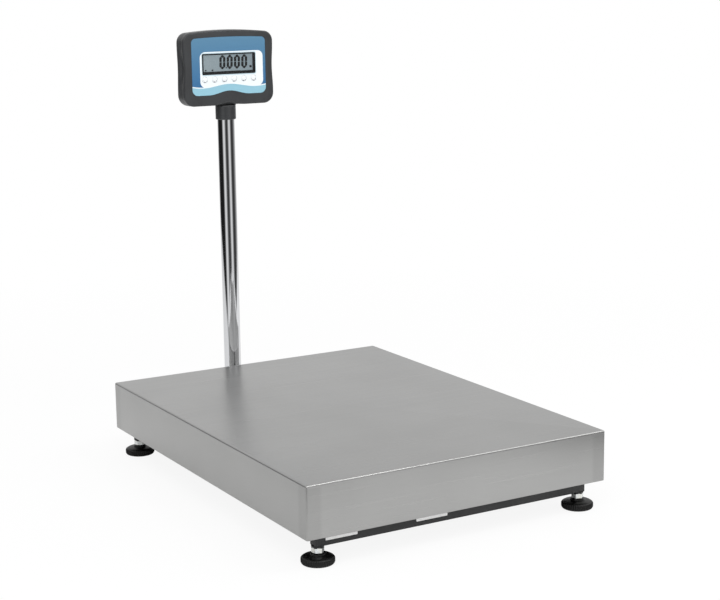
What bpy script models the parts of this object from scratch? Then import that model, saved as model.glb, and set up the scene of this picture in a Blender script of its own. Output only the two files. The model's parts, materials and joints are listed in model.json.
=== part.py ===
"""Platform scale with a stainless pan, a single load cell and an indicator on a column.

Metres, +Z up, the front of the scale towards -Y.  The origin lies on the floor, in the
middle of the whole scale's footprint box.  Heights are stacked from the floor upwards:
feet, base bars, load cell, spider, rubbers, pan; and arm, column, neck, indicator.
"""
import math

import bmesh
import bpy
from mathutils import Matrix, Vector

MM = 0.001
GAP = 0.3 * MM  # clearance between pieces that rest on, or fit round, each other
CUT_OVER = 5 * MM  # how far a cutter runs past the face that it opens
SMOOTH_ANGLE = math.radians(35)  # faces that meet more sharply keep a hard edge

# Pan: folded stainless sheet with a deep skirt.
PAN_WIDTH = 600 * MM
PAN_LENGTH = 800 * MM
PAN_SKIRT = 92 * MM
PAN_SHEET = 1.5 * MM
PAN_BEND = 3.5 * MM

# Feet: rubber sole, knurled wheel, threaded stem and lock nut.
FOOT_INSET_X = 36 * MM
FOOT_INSET_Y = 31 * MM
SOLE_RADIUS = 24 * MM
SOLE_HEIGHT = 3 * MM
WHEEL_RADIUS = 28.5 * MM
WHEEL_LIFT = 1 * MM
WHEEL_RIM = 11.5 * MM
WHEEL_HEIGHT = 17.7 * MM
WHEEL_EDGE = 2 * MM
HUB_RADIUS = 12 * MM
HUB_HEIGHT = 3 * MM
KNURLS = 16
KNURL_DEPTH = 1.2 * MM
STEM_RADIUS = 6 * MM
STEM_SEAT = 8.3 * MM
STEM_HEADROOM = 3 * MM
NUT_FLATS = 19 * MM
NUT_HEIGHT = 10 * MM
NUT_TURN = math.radians(10)
BOSS_RADIUS = 11 * MM
BOSS_HEIGHT = 1.7 * MM

# Base: two cross bars joined by a lengthwise beam, all square steel tube.
BAR_WIDTH = 20 * MM
BAR_HEIGHT = 30 * MM
BAR_END = 9 * MM
BAR_WALL = 2 * MM
BEAM_WIDTH = 60 * MM
BEAM_WALL = 2.5 * MM
TUBE_CORNER = 1.5 * MM
STOP_X = 200 * MM
STOP_RADIUS = 6 * MM
STOP_GAP = 1.0 * MM

# Load cell, its spacers and its screws.
CELL_LENGTH = 150 * MM
CELL_WIDTH = 40 * MM
CELL_HEIGHT = 40 * MM
CELL_BORE_RADIUS = 11 * MM
CELL_BORE_Y = 18 * MM
CELL_SLOT = 8 * MM
CELL_EDGE = 1 * MM
SPACER_LENGTH = 44 * MM
SPACER_HEIGHT = 6 * MM
BOLT_RADIUS = 4 * MM
BOLT_FLATS = 13 * MM
BOLT_HEAD = 5.3 * MM
BOLT_PITCH = 22 * MM
BOLT_EDGE = 10 * MM
BOLT_GRIP = 18 * MM
BOLT_ACCESS = 10 * MM

# Spider: the upper frame that the pan lies on.
SPINE_WIDTH = 60 * MM
ARM_WIDTH = 40 * MM
ARM_INSET_X = 24 * MM
ARM_INSET_Y = 20 * MM
SPIDER_HEIGHT = 24 * MM
SPIDER_WALL = 2 * MM
RUBBER_RADIUS = 17 * MM
RUBBER_HEIGHT = 4.7 * MM
RUBBER_EDGE = 1 * MM
RUBBER_PEG = 4 * MM
RUBBER_INSET = 28 * MM

# Column, its arm behind the base, and the level on that arm.
COLUMN_BEHIND = 80 * MM
COLUMN_RADIUS = 17.5 * MM
COLUMN_WALL = 1.5 * MM
COLUMN_LENGTH = 622 * MM
OUTRIGGER_WIDTH = 50 * MM
OUTRIGGER_WALL = 2 * MM
SKIRT_CLEARANCE = 3 * MM
HOLDER_WALL = 4.5 * MM
HOLDER_HEIGHT = 60 * MM
HOLDER_FLANGE = 4 * MM
HOLDER_RIB = 4 * MM
HOLDER_RIB_HEIGHT = 36 * MM
HOLDER_RIB_LAP = 2 * MM
HOLDER_SCREW_Z = 42 * MM
SCREW_RADIUS = 3 * MM
SCREW_HEAD = 5 * MM
SCREW_HEAD_LENGTH = 4 * MM
LEVEL_RADIUS = 15 * MM
LEVEL_HEIGHT = 9 * MM
LEVEL_WALL = 3 * MM
LEVEL_FLOOR = 2 * MM
LEVEL_EDGE = 1 * MM
LEVEL_CROWN = 0.3 * MM

# Neck: swivels on the column and carries the tilting indicator.
NECK_WALL = 3.2 * MM
NECK_DEPTH = 26.3 * MM
NECK_TOP = 3.4 * MM
NECK_EDGE = 2.5 * MM
PIVOT_RISE = 29 * MM
LUG_RADIUS = 12 * MM
LUG_STEM = 7 * MM
LUG_HALF_WIDTH = 21 * MM
PIVOT_RADIUS = 3 * MM
PIVOT_HEAD_RADIUS = 5 * MM
PIVOT_HEAD_LENGTH = 4 * MM

# Indicator housing, measured from the tilt pivot.
HOUSING_WIDTH = 202 * MM
HOUSING_HEIGHT = 152 * MM
HOUSING_RAISE = 48 * MM
HOUSING_FRONT = 22 * MM
HOUSING_PARTING = 12 * MM
HOUSING_SIDE_BACK = 11 * MM
HOUSING_SLOPE_BACK = 21 * MM
HOUSING_BACK = 28 * MM
SLOPE_INSET = 8 * MM
BACK_INSET = 22 * MM
FRONT_ROUND = 3 * MM
FRONT_WALL = 2.5 * MM
REAR_WALL = 3 * MM
CORNER_TOP = 20 * MM
CORNER_BOTTOM = 22 * MM
CROWN = 4 * MM
WAIST = 2 * MM
WAIST_BACK = 1 * MM
WAIST_HALF = 48 * MM
GROOVE_MOUTH = 4 * MM
GROOVE_DEPTH = 7 * MM
GROOVE_FRONT = 8 * MM
GROOVE_REAR = 1 * MM
GROOVE_END = 4 * MM
ARCH_HALF = 36 * MM
ARCH_RISE = 7 * MM
ARCH_INNER_RISE = 2 * MM
ARCH_DEPTH = 5 * MM
CHANNEL_SIDE_GAP = 0.5 * MM
CHANNEL_WALL = 2.5 * MM
CHANNEL_FRONT_GAP = 1 * MM
CHANNEL_ROOF = 17 * MM
PARTITION_DROP = 16 * MM
POST_RADIUS = 4 * MM
POST_INSET = 5 * MM

# Front of the indicator.
OVERLAY_WIDTH = 166 * MM
OVERLAY_HEIGHT = 117 * MM
OVERLAY_RAISE = 4 * MM
OVERLAY_SHEET = 0.6 * MM
OVERLAY_CORNER_TOP = 9 * MM
OVERLAY_CORNER_BOTTOM = 12 * MM
OVERLAY_CROWN = 2 * MM
OVERLAY_ARCH_HALF = 46 * MM
OVERLAY_ARCH_RISE = 8 * MM
WINDOW_WIDTH = 120 * MM
WINDOW_HEIGHT = 42 * MM
WINDOW_RAISE = 8 * MM
WINDOW_THICKNESS = 1.7 * MM
WINDOW_CORNER = 3 * MM
DISPLAY_WIDTH = 112 * MM
DISPLAY_HEIGHT = 38 * MM
DISPLAY_THICKNESS = 7 * MM
DISPLAY_GAP = 0.9 * MM
DISPLAY_EDGE = 0.8 * MM
BOARD_WIDTH = 144 * MM
BOARD_HEIGHT = 74 * MM
BOARD_THICKNESS = 1.6 * MM
BOARD_RAISE = 2 * MM
KEY_COUNT = 6
KEY_PITCH = 21.9 * MM
KEY_DROP = 23 * MM
KEY_RADIUS = 6 * MM
KEY_PROUD = 1.2 * MM
KEY_DOME = ((0.55, 0.85), (0.9, 0.35))  # shares of radius and height
KEY_FLANGE = 1.2 * MM
KEY_FLANGE_HEIGHT = 1 * MM
KEY_STEM_RADIUS = 2.5 * MM
KEY_TRAVEL = 0.5 * MM

# Back of the indicator.
BATTERY_WIDTH = 97 * MM
BATTERY_HEIGHT = 51 * MM
BATTERY_DEPTH = 24 * MM
BATTERY_RAISE = 8 * MM
BATTERY_EDGE = 1.5 * MM
BATTERY_PLAY = 1.5 * MM
COVER_LAP = 4 * MM
COVER_THICKNESS = 1.5 * MM
GRIP_PITCH = 11 * MM
GLAND_X = 58 * MM
GLAND_RAISE = 11 * MM
GLAND_RADIUS = 6 * MM
GLAND_NUT = 9 * MM
GLAND_OUT = 15 * MM
GLAND_NOSE = 4 * MM
GLAND_STEP = 1 * MM
CABLE_RADIUS = 3 * MM
INLET_RADIUS = 5.5 * MM
INLET_FLANGE = 8 * MM
INLET_PIN_RADIUS = 2.5 * MM
INLET_LIP = 2 * MM
INLET_DEPTH = 12 * MM

CORNERS = {
    "front_left": (-1, -1),
    "front_right": (1, -1),
    "rear_left": (-1, 1),
    "rear_right": (1, 1),
}

# Heights from the floor upwards.
WHEEL_Z = WHEEL_LIFT
NUT_Z = WHEEL_Z + WHEEL_HEIGHT + GAP
BOSS_Z = NUT_Z + NUT_HEIGHT + GAP
BAR_Z = BOSS_Z + BOSS_HEIGHT
BAR_TOP = BAR_Z + BAR_HEIGHT
LOWER_SPACER_Z = BAR_TOP + GAP
CELL_Z = LOWER_SPACER_Z + SPACER_HEIGHT + GAP
UPPER_SPACER_Z = CELL_Z + CELL_HEIGHT + GAP
SPIDER_Z = UPPER_SPACER_Z + SPACER_HEIGHT + GAP
RUBBER_Z = SPIDER_Z + SPIDER_HEIGHT + GAP
PAN_TOP = RUBBER_Z + RUBBER_HEIGHT + GAP + PAN_SHEET
OUTRIGGER_HEIGHT = PAN_TOP - PAN_SKIRT - SKIRT_CLEARANCE - BAR_Z
HOLDER_Z = BAR_Z + OUTRIGGER_HEIGHT + GAP
COLUMN_TOP = HOLDER_Z + COLUMN_LENGTH
PIVOT_Z = COLUMN_TOP + GAP + NECK_TOP + PIVOT_RISE

# Places along the scale; the footprint box is centred on the origin.
PLATFORM_Y = -(COLUMN_BEHIND + HOUSING_BACK + GLAND_OUT) / 2
COLUMN_Y = PLATFORM_Y + PAN_LENGTH / 2 + COLUMN_BEHIND
FOOT_X = PAN_WIDTH / 2 - FOOT_INSET_X
FOOT_Y = PAN_LENGTH / 2 - FOOT_INSET_Y
BAR_LENGTH = 2 * (FOOT_X + BAR_END)
ARM_Y = PAN_LENGTH / 2 - ARM_INSET_Y - ARM_WIDTH / 2
ARM_LENGTH = PAN_WIDTH - 2 * ARM_INSET_X
CHANNEL_HALF = LUG_HALF_WIDTH + CHANNEL_SIDE_GAP
CHANNEL_FRONT = LUG_RADIUS + CHANNEL_FRONT_GAP
BOARD_Y = -HOUSING_FRONT + OVERLAY_SHEET + WINDOW_THICKNESS + DISPLAY_GAP + DISPLAY_THICKNESS + GAP
NECK_RADIUS = COLUMN_RADIUS + GAP + NECK_WALL

for old in list(bpy.data.objects):
    bpy.data.objects.remove(old, do_unlink=True)

model = bpy.data.collections.new("platform_scale")
cutters = bpy.data.collections.new("cutters")
bpy.context.scene.collection.children.link(model)
bpy.context.scene.collection.children.link(cutters)


def finish(name, colour, roughness, metallic=0.0, alpha=1.0):
    """A Principled material of one sRGB hex colour."""
    material = bpy.data.materials.new(name)
    material.use_nodes = True
    shader = material.node_tree.nodes["Principled BSDF"]
    channels = [int(colour[i:i + 2], 16) / 255 for i in (0, 2, 4)]
    linear = [c / 12.92 if c <= 0.04045 else ((c + 0.055) / 1.055) ** 2.4 for c in channels]
    shader.inputs["Base Color"].default_value = (*linear, 1.0)
    shader.inputs["Roughness"].default_value = roughness
    shader.inputs["Metallic"].default_value = metallic
    shader.inputs["Alpha"].default_value = alpha
    material.diffuse_color = (*linear, alpha)
    return material


STAINLESS = finish("stainless_sheet", "B4B4B3", 0.34, 1.0)
CHROME = finish("chromed_tube", "D8D9DB", 0.08, 1.0)
BLACK_PAINT = finish("black_paint", "2A2A2B", 0.45)
ALUMINIUM = finish("cell_aluminium", "C9CBCE", 0.35, 1.0)
ZINC = finish("zinc_steel", "D2D3D0", 0.25, 1.0)
NYLON = finish("black_nylon", "161617", 0.4)
RUBBER = finish("black_rubber", "1E1E1E", 0.85)
HOUSING_ABS = finish("grey_abs", "545557", 0.5)
OVERLAY_FILM = finish("overlay_film", "4482B4", 0.3)
KEY_WHITE = finish("key_white", "EEF2F4", 0.35)
CLEAR = finish("clear_window", "DDE5E2", 0.05, 0.0, 0.35)
DISPLAY_GREEN = finish("display_green", "9DAA9B", 0.25)
BOARD_GREEN = finish("board_green", "1F5A3A", 0.5)
BATTERY_GREY = finish("battery_grey", "3B3F45", 0.5)
LEVEL_FLUID = finish("level_fluid", "B9D94A", 0.1, 0.0, 0.6)


def axis_empty(name, place, parent=None):
    """An empty on a joint's axis, which carries what moves with that joint."""
    empty = bpy.data.objects.new(name, None)
    empty.location = place
    empty.parent = parent
    empty.empty_display_size = 20 * MM
    model.objects.link(empty)
    return empty


def add(name, mesh, material=None, place=(0, 0, 0), parent=None):
    """Link a mesh as a sub-part, or as a cutter where it has no material."""
    piece = bpy.data.objects.new(name, mesh)
    piece.location = place
    piece.parent = parent
    if material is None:
        piece.hide_render = True
        piece.display_type = "WIRE"
        cutters.objects.link(piece)
    else:
        mesh.materials.append(material)
        model.objects.link(piece)
    return piece


def shade(mesh):
    """Shade a mesh smooth, apart from its sharp edges."""
    mesh.shade_smooth()
    mesh.set_sharp_from_angle(angle=SMOOTH_ANGLE)
    return mesh


def mesh_from(bm, name):
    """Turn a bmesh into a mesh with its faces pointing out."""
    bmesh.ops.recalc_face_normals(bm, faces=bm.faces)
    mesh = bpy.data.meshes.new(name)
    bm.to_mesh(mesh)
    bm.free()
    return shade(mesh)


def evaluated_mesh(piece):
    """A mesh of what a piece's modifiers or curve make."""
    return bpy.data.meshes.new_from_object(piece.evaluated_get(bpy.context.evaluated_depsgraph_get()))


def box_mesh(name, low, high):
    """A box between two corners."""
    low, high = Vector(low), Vector(high)
    bm = bmesh.new()
    size = Matrix.Diagonal((*(high - low), 1.0))
    bmesh.ops.create_cube(bm, size=1.0, matrix=Matrix.Translation((low + high) / 2) @ size)
    return mesh_from(bm, name)


def rod_mesh(name, radius, length, axis="Z", sides=16, start=0.0, centres=((0, 0, 0),)):
    """One or more round or hexagonal rods along an axis, each from start for its length."""
    turn = {"X": Matrix.Rotation(math.pi / 2, 4, "Y"), "Y": Matrix.Rotation(-math.pi / 2, 4, "X"),
            "Z": Matrix.Identity(4)}[axis]
    bm = bmesh.new()
    for centre in centres:
        along = Matrix.Translation((0, 0, start + length / 2))
        bmesh.ops.create_cone(bm, cap_ends=True, segments=sides, radius1=radius, radius2=radius,
                              depth=length, matrix=Matrix.Translation(centre) @ turn @ along)
    return mesh_from(bm, name)


def boolean(piece, other, operation="DIFFERENCE"):
    """Cut a piece with a cutter, or join one to it."""
    modifier = piece.modifiers.new(other.name, "BOOLEAN")
    modifier.object = other
    modifier.operation = operation
    modifier.solver = "EXACT"


def bevel(piece, width, segments=2, angle=40):
    """Round the edges that are sharper than an angle."""
    modifier = piece.modifiers.new("rounding", "BEVEL")
    modifier.width = width
    modifier.segments = segments
    modifier.limit_method = "ANGLE"
    modifier.angle_limit = math.radians(angle)


def turned(name, profile, material, place=(0, 0, 0), parent=None, steps=32, closed=False):
    """Turn a profile of (radius, height) points about Z.

    The points run down the outer side; a closed profile makes a ring with a bore.
    """
    mesh = bpy.data.meshes.new(name)
    count = len(profile)
    edges = [(i, i + 1) for i in range(count - 1)] + ([(count - 1, 0)] if closed else [])
    mesh.from_pydata([(radius, 0, height) for radius, height in profile], edges, [])
    piece = add(name, mesh, material, place, parent)
    screw = piece.modifiers.new("turning", "SCREW")
    screw.axis = "Z"
    screw.angle = math.tau
    screw.steps = screw.render_steps = steps
    screw.use_merge_vertices = True
    screw.merge_threshold = 0.00001
    piece.data = shade(evaluated_mesh(piece))
    piece.data.name = name
    piece.modifiers.clear()
    bpy.data.meshes.remove(mesh)
    return piece


def plate_mesh(name, outline, thickness):
    """A flat plate from an outline in X and Z, its middle at Y = 0, by way of a filled curve."""
    curve = bpy.data.curves.new(name, "CURVE")
    curve.dimensions = "2D"
    curve.fill_mode = "BOTH"
    curve.extrude = thickness / 2
    spline = curve.splines.new("POLY")
    spline.points.add(len(outline) - 1)
    for point, (x, z) in zip(spline.points, outline):
        point.co = (x, z, 0, 1)
    spline.use_cyclic_u = True
    flat = bpy.data.objects.new(name, curve)
    bpy.context.scene.collection.objects.link(flat)
    mesh = evaluated_mesh(flat)
    bpy.data.objects.remove(flat)
    bm = bmesh.new()
    bm.from_mesh(mesh)
    bmesh.ops.remove_doubles(bm, verts=bm.verts, dist=0.000001)
    bmesh.ops.rotate(bm, verts=bm.verts, matrix=Matrix.Rotation(math.pi / 2, 3, "X"))
    bpy.data.meshes.remove(mesh)
    return mesh_from(bm, name)


def loft_mesh(name, rings):
    """A closed form through outlines of X and Z, each at its own Y, with flat ends."""
    bm = bmesh.new()
    loops = [[bm.verts.new((x, y, z)) for x, z in outline] for y, outline in rings]
    for near, far in zip(loops, loops[1:]):
        count = len(near)
        for i in range(count):
            j = (i + 1) % count
            bm.faces.new((near[i], near[j], far[j]))
            bm.faces.new((near[i], far[j], far[i]))
    bm.faces.new(reversed(loops[0]))
    bm.faces.new(loops[-1])
    return mesh_from(bm, name)


def arc(centre, radius, start, end, steps):
    """Points of an arc in X and Z, between two angles in degrees."""
    angles = [math.radians(start + (end - start) * i / steps) for i in range(steps + 1)]
    return [(centre[0] + radius * math.cos(a), centre[1] + radius * math.sin(a)) for a in angles]


def bump(distance, half):
    """A smooth bump that is 1 in the middle and 0 from the half width on."""
    return 0.5 + 0.5 * math.cos(math.pi * min(abs(distance) / half, 1.0))


def soft_outline(width, height, top_radius, bottom_radius, crown, arch, waist, centre_z, inset=0.0):
    """The indicator's outline: crowned top, round corners, waisted sides, arched lower edge.

    arch and waist are pairs of half width and depth.
    """
    half_x, half_z = width / 2 - inset, height / 2 - inset
    top_radius = max(top_radius - inset, inset / 4)
    bottom_radius = max(bottom_radius - inset, inset / 4)
    right = [(arch[0] * i / 4, -half_z + arch[1] * bump(i, 4)) for i in range(5)]
    right += arc((half_x - bottom_radius, bottom_radius - half_z), bottom_radius, -90, 0, 4)
    low, high = bottom_radius - half_z, half_z - crown - top_radius
    for i in range(1, 6):
        z = low + (high - low) * i / 6
        right.append((half_x - waist[1] * bump(z, waist[0]), z))
    right += arc((half_x - top_radius, high), top_radius, 0, 90, 4)
    edge = half_x - top_radius
    right += [(edge * i / 3, half_z - crown * (i / 3) ** 2) for i in (2, 1, 0)]
    left = [(-x, z) for x, z in reversed(right[1:-1])]
    return [(x, z + centre_z) for x, z in right + left]


def square_tube(name, low, high, wall, along, material, place=(0, 0, 0), capped=False):
    """A rectangular tube along X or Y with rounded corners; a capped one has end plates."""
    tube = add(name, box_mesh(name, low, high), material, place)
    bevel(tube, TUBE_CORNER)
    inner_low, inner_high = list(low), list(high)
    for i in range(3):
        step = -CUT_OVER if "XYZ"[i] == along and not capped else wall
        inner_low[i] += step
        inner_high[i] -= step
    inside = add(name + "_inside", box_mesh(name + "_inside", inner_low, inner_high), None, place)
    boolean(tube, inside)
    return tube


def hexagon_radius(flats):
    """Corner radius of a hexagon from its width across flats."""
    return flats / math.sqrt(3)


def hex_screw(name, head_flats, head, radius, length, place, parent=None, turn=(0, 0, 0)):
    """A screw along Z: its shank ends at 0 and its head sits past its length."""
    shank = rod_mesh(name, radius, length + head / 2, sides=12)
    screw = add(name, shank, ZINC, place, parent)
    screw.rotation_euler = turn
    cap_mesh = rod_mesh(name + "_head", hexagon_radius(head_flats), head, sides=6, start=length)
    cap = add(name + "_head", cap_mesh, None, place, parent)
    cap.rotation_euler = turn
    boolean(screw, cap, "UNION")
    return screw


def build_foot(corner, side_x, side_y):
    """One levelling foot: sole on the floor, knurled wheel and stem above it, lock nut at the bar."""
    axis = axis_empty("foot_axis_" + corner, (side_x * FOOT_X, PLATFORM_Y + side_y * FOOT_Y, 0))
    sole_profile = [(0, SOLE_HEIGHT), (SOLE_RADIUS, SOLE_HEIGHT),
                    (SOLE_RADIUS, SOLE_HEIGHT / 3), (SOLE_RADIUS - SOLE_HEIGHT / 3, 0), (0, 0)]
    turned("foot_sole_" + corner, sole_profile, RUBBER, parent=axis, steps=24)

    top, rim, seat = WHEEL_HEIGHT, WHEEL_RIM, STEM_SEAT
    bore, half_edge = STEM_RADIUS + GAP, WHEEL_EDGE / 2
    pocket, roof = SOLE_RADIUS + GAP, SOLE_HEIGHT + GAP - WHEEL_LIFT
    wheel_profile = [(0, seat), (bore, seat), (bore, top), (HUB_RADIUS - half_edge, top),
                     (HUB_RADIUS, top - half_edge), (HUB_RADIUS, top - HUB_HEIGHT),
                     (WHEEL_RADIUS - WHEEL_EDGE, rim), (WHEEL_RADIUS, rim - half_edge),
                     (WHEEL_RADIUS, half_edge), (WHEEL_RADIUS - half_edge, 0), (pocket, 0),
                     (pocket, roof), (0, roof)]
    wheel = turned("foot_wheel_" + corner, wheel_profile, NYLON, (0, 0, WHEEL_Z), axis, 2 * KNURLS)
    knurl(wheel.data, half_edge / 2, rim - half_edge / 2)

    stem_top = BAR_TOP - BAR_WALL - STEM_HEADROOM
    stem_low = WHEEL_Z + seat + GAP
    chamfer = STEM_RADIUS / 5
    stem_profile = [(0, stem_top), (STEM_RADIUS - chamfer, stem_top), (STEM_RADIUS, stem_top - chamfer),
                    (STEM_RADIUS, stem_low), (0, stem_low)]
    turned("foot_stem_" + corner, stem_profile, ZINC, parent=axis, steps=12)

    nut_mesh = rod_mesh("lock_nut_" + corner, hexagon_radius(NUT_FLATS), NUT_HEIGHT, sides=6, start=NUT_Z)
    nut = add("lock_nut_" + corner, nut_mesh, ZINC, parent=axis)
    nut.rotation_euler.z = NUT_TURN
    thread = rod_mesh("nut_thread_" + corner, bore, NUT_HEIGHT + 2 * CUT_OVER, sides=12,
                      start=NUT_Z - CUT_OVER)
    boolean(nut, add("nut_thread_" + corner, thread, parent=axis))


def knurl(mesh, low, high):
    """Press every other line of points on a wheel's rim inwards, which leaves upright ribs."""
    bm = bmesh.new()
    bm.from_mesh(mesh)
    step = math.tau / (2 * KNURLS)
    for vert in bm.verts:
        radius = math.hypot(vert.co.x, vert.co.y)
        line = round(math.atan2(vert.co.y, vert.co.x) / step)
        if radius > WHEEL_RADIUS - WHEEL_EDGE / 2 and low < vert.co.z < high and line % 2:
            shrink = (radius - KNURL_DEPTH) / radius
            vert.co.x *= shrink
            vert.co.y *= shrink
    bm.to_mesh(mesh)
    bm.free()
    shade(mesh)


def build_base():
    """Two capped cross bars with overload stops, and the beam that joins them."""
    for name, side in (("front", -1), ("rear", 1)):
        place = (0, PLATFORM_Y + side * FOOT_Y, 0)
        low = (-BAR_LENGTH / 2, -BAR_WIDTH / 2, BAR_Z)
        high = (BAR_LENGTH / 2, BAR_WIDTH / 2, BAR_TOP)
        bar = square_tube("base_bar_" + name, low, high, BAR_WALL, "X", BLACK_PAINT, place, capped=True)
        feet = ((-FOOT_X, 0, 0), (FOOT_X, 0, 0))
        bosses = rod_mesh("foot_bosses_" + name, BOSS_RADIUS, BOSS_HEIGHT + BAR_WALL / 2, start=BOSS_Z,
                          centres=feet)
        boolean(bar, add("foot_bosses_" + name, bosses, None, place), "UNION")
        holes = rod_mesh("stem_holes_" + name, STEM_RADIUS + GAP, BAR_HEIGHT / 2 + CUT_OVER, sides=12,
                         start=BOSS_Z - CUT_OVER, centres=feet)
        boolean(bar, add("stem_holes_" + name, holes, None, place))
        stop_top = SPIDER_Z - STOP_GAP
        stop_low = BAR_TOP - BAR_WALL / 2
        stops = rod_mesh("stops_" + name, STOP_RADIUS, stop_top - stop_low, sides=12, start=stop_low,
                         centres=((-STOP_X, 0, 0), (STOP_X, 0, 0)))
        boolean(bar, add("overload_stops_" + name, stops, None, place), "UNION")
    beam_half = FOOT_Y - BAR_WIDTH / 2 - GAP
    beam = square_tube("base_beam", (-BEAM_WIDTH / 2, -beam_half, BAR_Z),
                       (BEAM_WIDTH / 2, beam_half, BAR_TOP), BEAM_WALL, "Y", BLACK_PAINT,
                       (0, PLATFORM_Y, 0))
    holes = rod_mesh("beam_holes", BOLT_RADIUS + GAP, BAR_HEIGHT + 2 * CUT_OVER, start=BAR_Z - CUT_OVER,
                     centres=[(0, -y, 0) for y in bolt_places()])
    boolean(beam, add("beam_holes", holes, None, (0, PLATFORM_Y, 0)))


def bolt_places():
    """Distances of a pair of cell screws from the cell's middle."""
    outer = CELL_LENGTH / 2 - BOLT_EDGE
    return outer, outer - BOLT_PITCH


def build_load_cell():
    """The single-point load cell, its two spacers and its four screws."""
    middle = (0, PLATFORM_Y, 0)
    half_x, half_y = CELL_WIDTH / 2, CELL_LENGTH / 2
    cell = add("load_cell", box_mesh("load_cell", (-half_x, -half_y, CELL_Z),
                                     (half_x, half_y, CELL_Z + CELL_HEIGHT)), ALUMINIUM, middle)
    bevel(cell, CELL_EDGE, 1)
    centre_z = CELL_Z + CELL_HEIGHT / 2
    bores = rod_mesh("cell_bores", CELL_BORE_RADIUS, CELL_WIDTH + 2 * CUT_OVER, "X", 24,
                     -half_x - CUT_OVER, ((0, -CELL_BORE_Y, centre_z), (0, CELL_BORE_Y, centre_z)))
    boolean(cell, add("cell_bores", bores, None, middle))
    slot = box_mesh("cell_slot", (-half_x - CUT_OVER, -CELL_BORE_Y, centre_z - CELL_SLOT / 2),
                    (half_x + CUT_OVER, CELL_BORE_Y, centre_z + CELL_SLOT / 2))
    boolean(cell, add("cell_slot", slot, None, middle))
    hole = BOLT_RADIUS + GAP
    for side, start in ((-1, CELL_Z - CUT_OVER), (1, CELL_Z + CELL_HEIGHT - BOLT_GRIP - 2 * GAP)):
        depth = BOLT_GRIP + 2 * GAP + CUT_OVER
        holes = rod_mesh("cell_threads", hole, depth, start=start,
                         centres=[(0, side * y, 0) for y in bolt_places()])
        boolean(cell, add("cell_threads", holes, None, middle))
    spacer_y = CELL_LENGTH / 2 - SPACER_LENGTH / 2
    for name, side, low in (("lower_spacer", -1, LOWER_SPACER_Z), ("upper_spacer", 1, UPPER_SPACER_Z)):
        corner = (half_x, SPACER_LENGTH / 2)
        mesh = box_mesh(name, (-corner[0], side * spacer_y - corner[1], low),
                        (corner[0], side * spacer_y + corner[1], low + SPACER_HEIGHT))
        spacer = add(name, mesh, ZINC, middle)
        holes = rod_mesh(name + "_holes", hole, SPACER_HEIGHT + 2 * CUT_OVER, start=low - CUT_OVER,
                         centres=[(0, side * y, 0) for y in bolt_places()])
        boolean(spacer, add(name + "_holes", holes, None, middle))
    lower_length = CELL_Z + BOLT_GRIP - BAR_Z + GAP
    upper_length = SPIDER_Z + SPIDER_WALL + GAP - (CELL_Z + CELL_HEIGHT - BOLT_GRIP)
    for name, y in zip(("outer", "inner"), bolt_places()):
        hex_screw("lower_bolt_" + name, BOLT_FLATS, BOLT_HEAD, BOLT_RADIUS, lower_length,
                  (0, PLATFORM_Y - y, CELL_Z + BOLT_GRIP), turn=(math.pi, 0, 0))
        hex_screw("upper_bolt_" + name, BOLT_FLATS, BOLT_HEAD, BOLT_RADIUS, upper_length,
                  (0, PLATFORM_Y + y, CELL_Z + CELL_HEIGHT - BOLT_GRIP))


def build_spider():
    """The upper frame of three tubes, with a rubber under each corner of the pan."""
    low_z, high_z = SPIDER_Z, SPIDER_Z + SPIDER_HEIGHT
    spine_half = ARM_Y - ARM_WIDTH / 2 - GAP
    spine = square_tube("spider_spine", (-SPINE_WIDTH / 2, -spine_half, low_z),
                        (SPINE_WIDTH / 2, spine_half, high_z), SPIDER_WALL, "Y", BLACK_PAINT,
                        (0, PLATFORM_Y, 0))
    centres = [(0, y, 0) for y in bolt_places()]
    holes = rod_mesh("spine_holes", BOLT_RADIUS + GAP, SPIDER_HEIGHT / 2 + CUT_OVER,
                     start=low_z - CUT_OVER, centres=centres)
    boolean(spine, add("spine_holes", holes, None, (0, PLATFORM_Y, 0)))
    access = rod_mesh("spine_access", BOLT_ACCESS, SPIDER_HEIGHT / 2 + CUT_OVER,
                      start=low_z + SPIDER_HEIGHT / 2, centres=centres)
    boolean(spine, add("spine_access", access, None, (0, PLATFORM_Y, 0)))
    rubber_x = ARM_LENGTH / 2 - RUBBER_INSET
    for name, side in (("front", -1), ("rear", 1)):
        place = (0, PLATFORM_Y + side * ARM_Y, 0)
        arm = square_tube("spider_arm_" + name, (-ARM_LENGTH / 2, -ARM_WIDTH / 2, low_z),
                          (ARM_LENGTH / 2, ARM_WIDTH / 2, high_z), SPIDER_WALL, "X", BLACK_PAINT, place)
        holes = rod_mesh("peg_holes_" + name, RUBBER_PEG + GAP, SPIDER_HEIGHT / 2 + CUT_OVER, sides=12,
                         start=low_z + SPIDER_HEIGHT / 2, centres=((-rubber_x, 0, 0), (rubber_x, 0, 0)))
        boolean(arm, add("peg_holes_" + name, holes, None, place))
    peg_low = -GAP - 2 * SPIDER_WALL
    profile = [(0, RUBBER_HEIGHT), (RUBBER_RADIUS - RUBBER_EDGE, RUBBER_HEIGHT),
               (RUBBER_RADIUS, RUBBER_HEIGHT - RUBBER_EDGE), (RUBBER_RADIUS, 0), (RUBBER_PEG, 0),
               (RUBBER_PEG, peg_low), (0, peg_low)]
    for corner, (side_x, side_y) in CORNERS.items():
        place = (side_x * rubber_x, PLATFORM_Y + side_y * ARM_Y, RUBBER_Z)
        turned("pan_rubber_" + corner, profile, RUBBER, place, steps=16)


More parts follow.
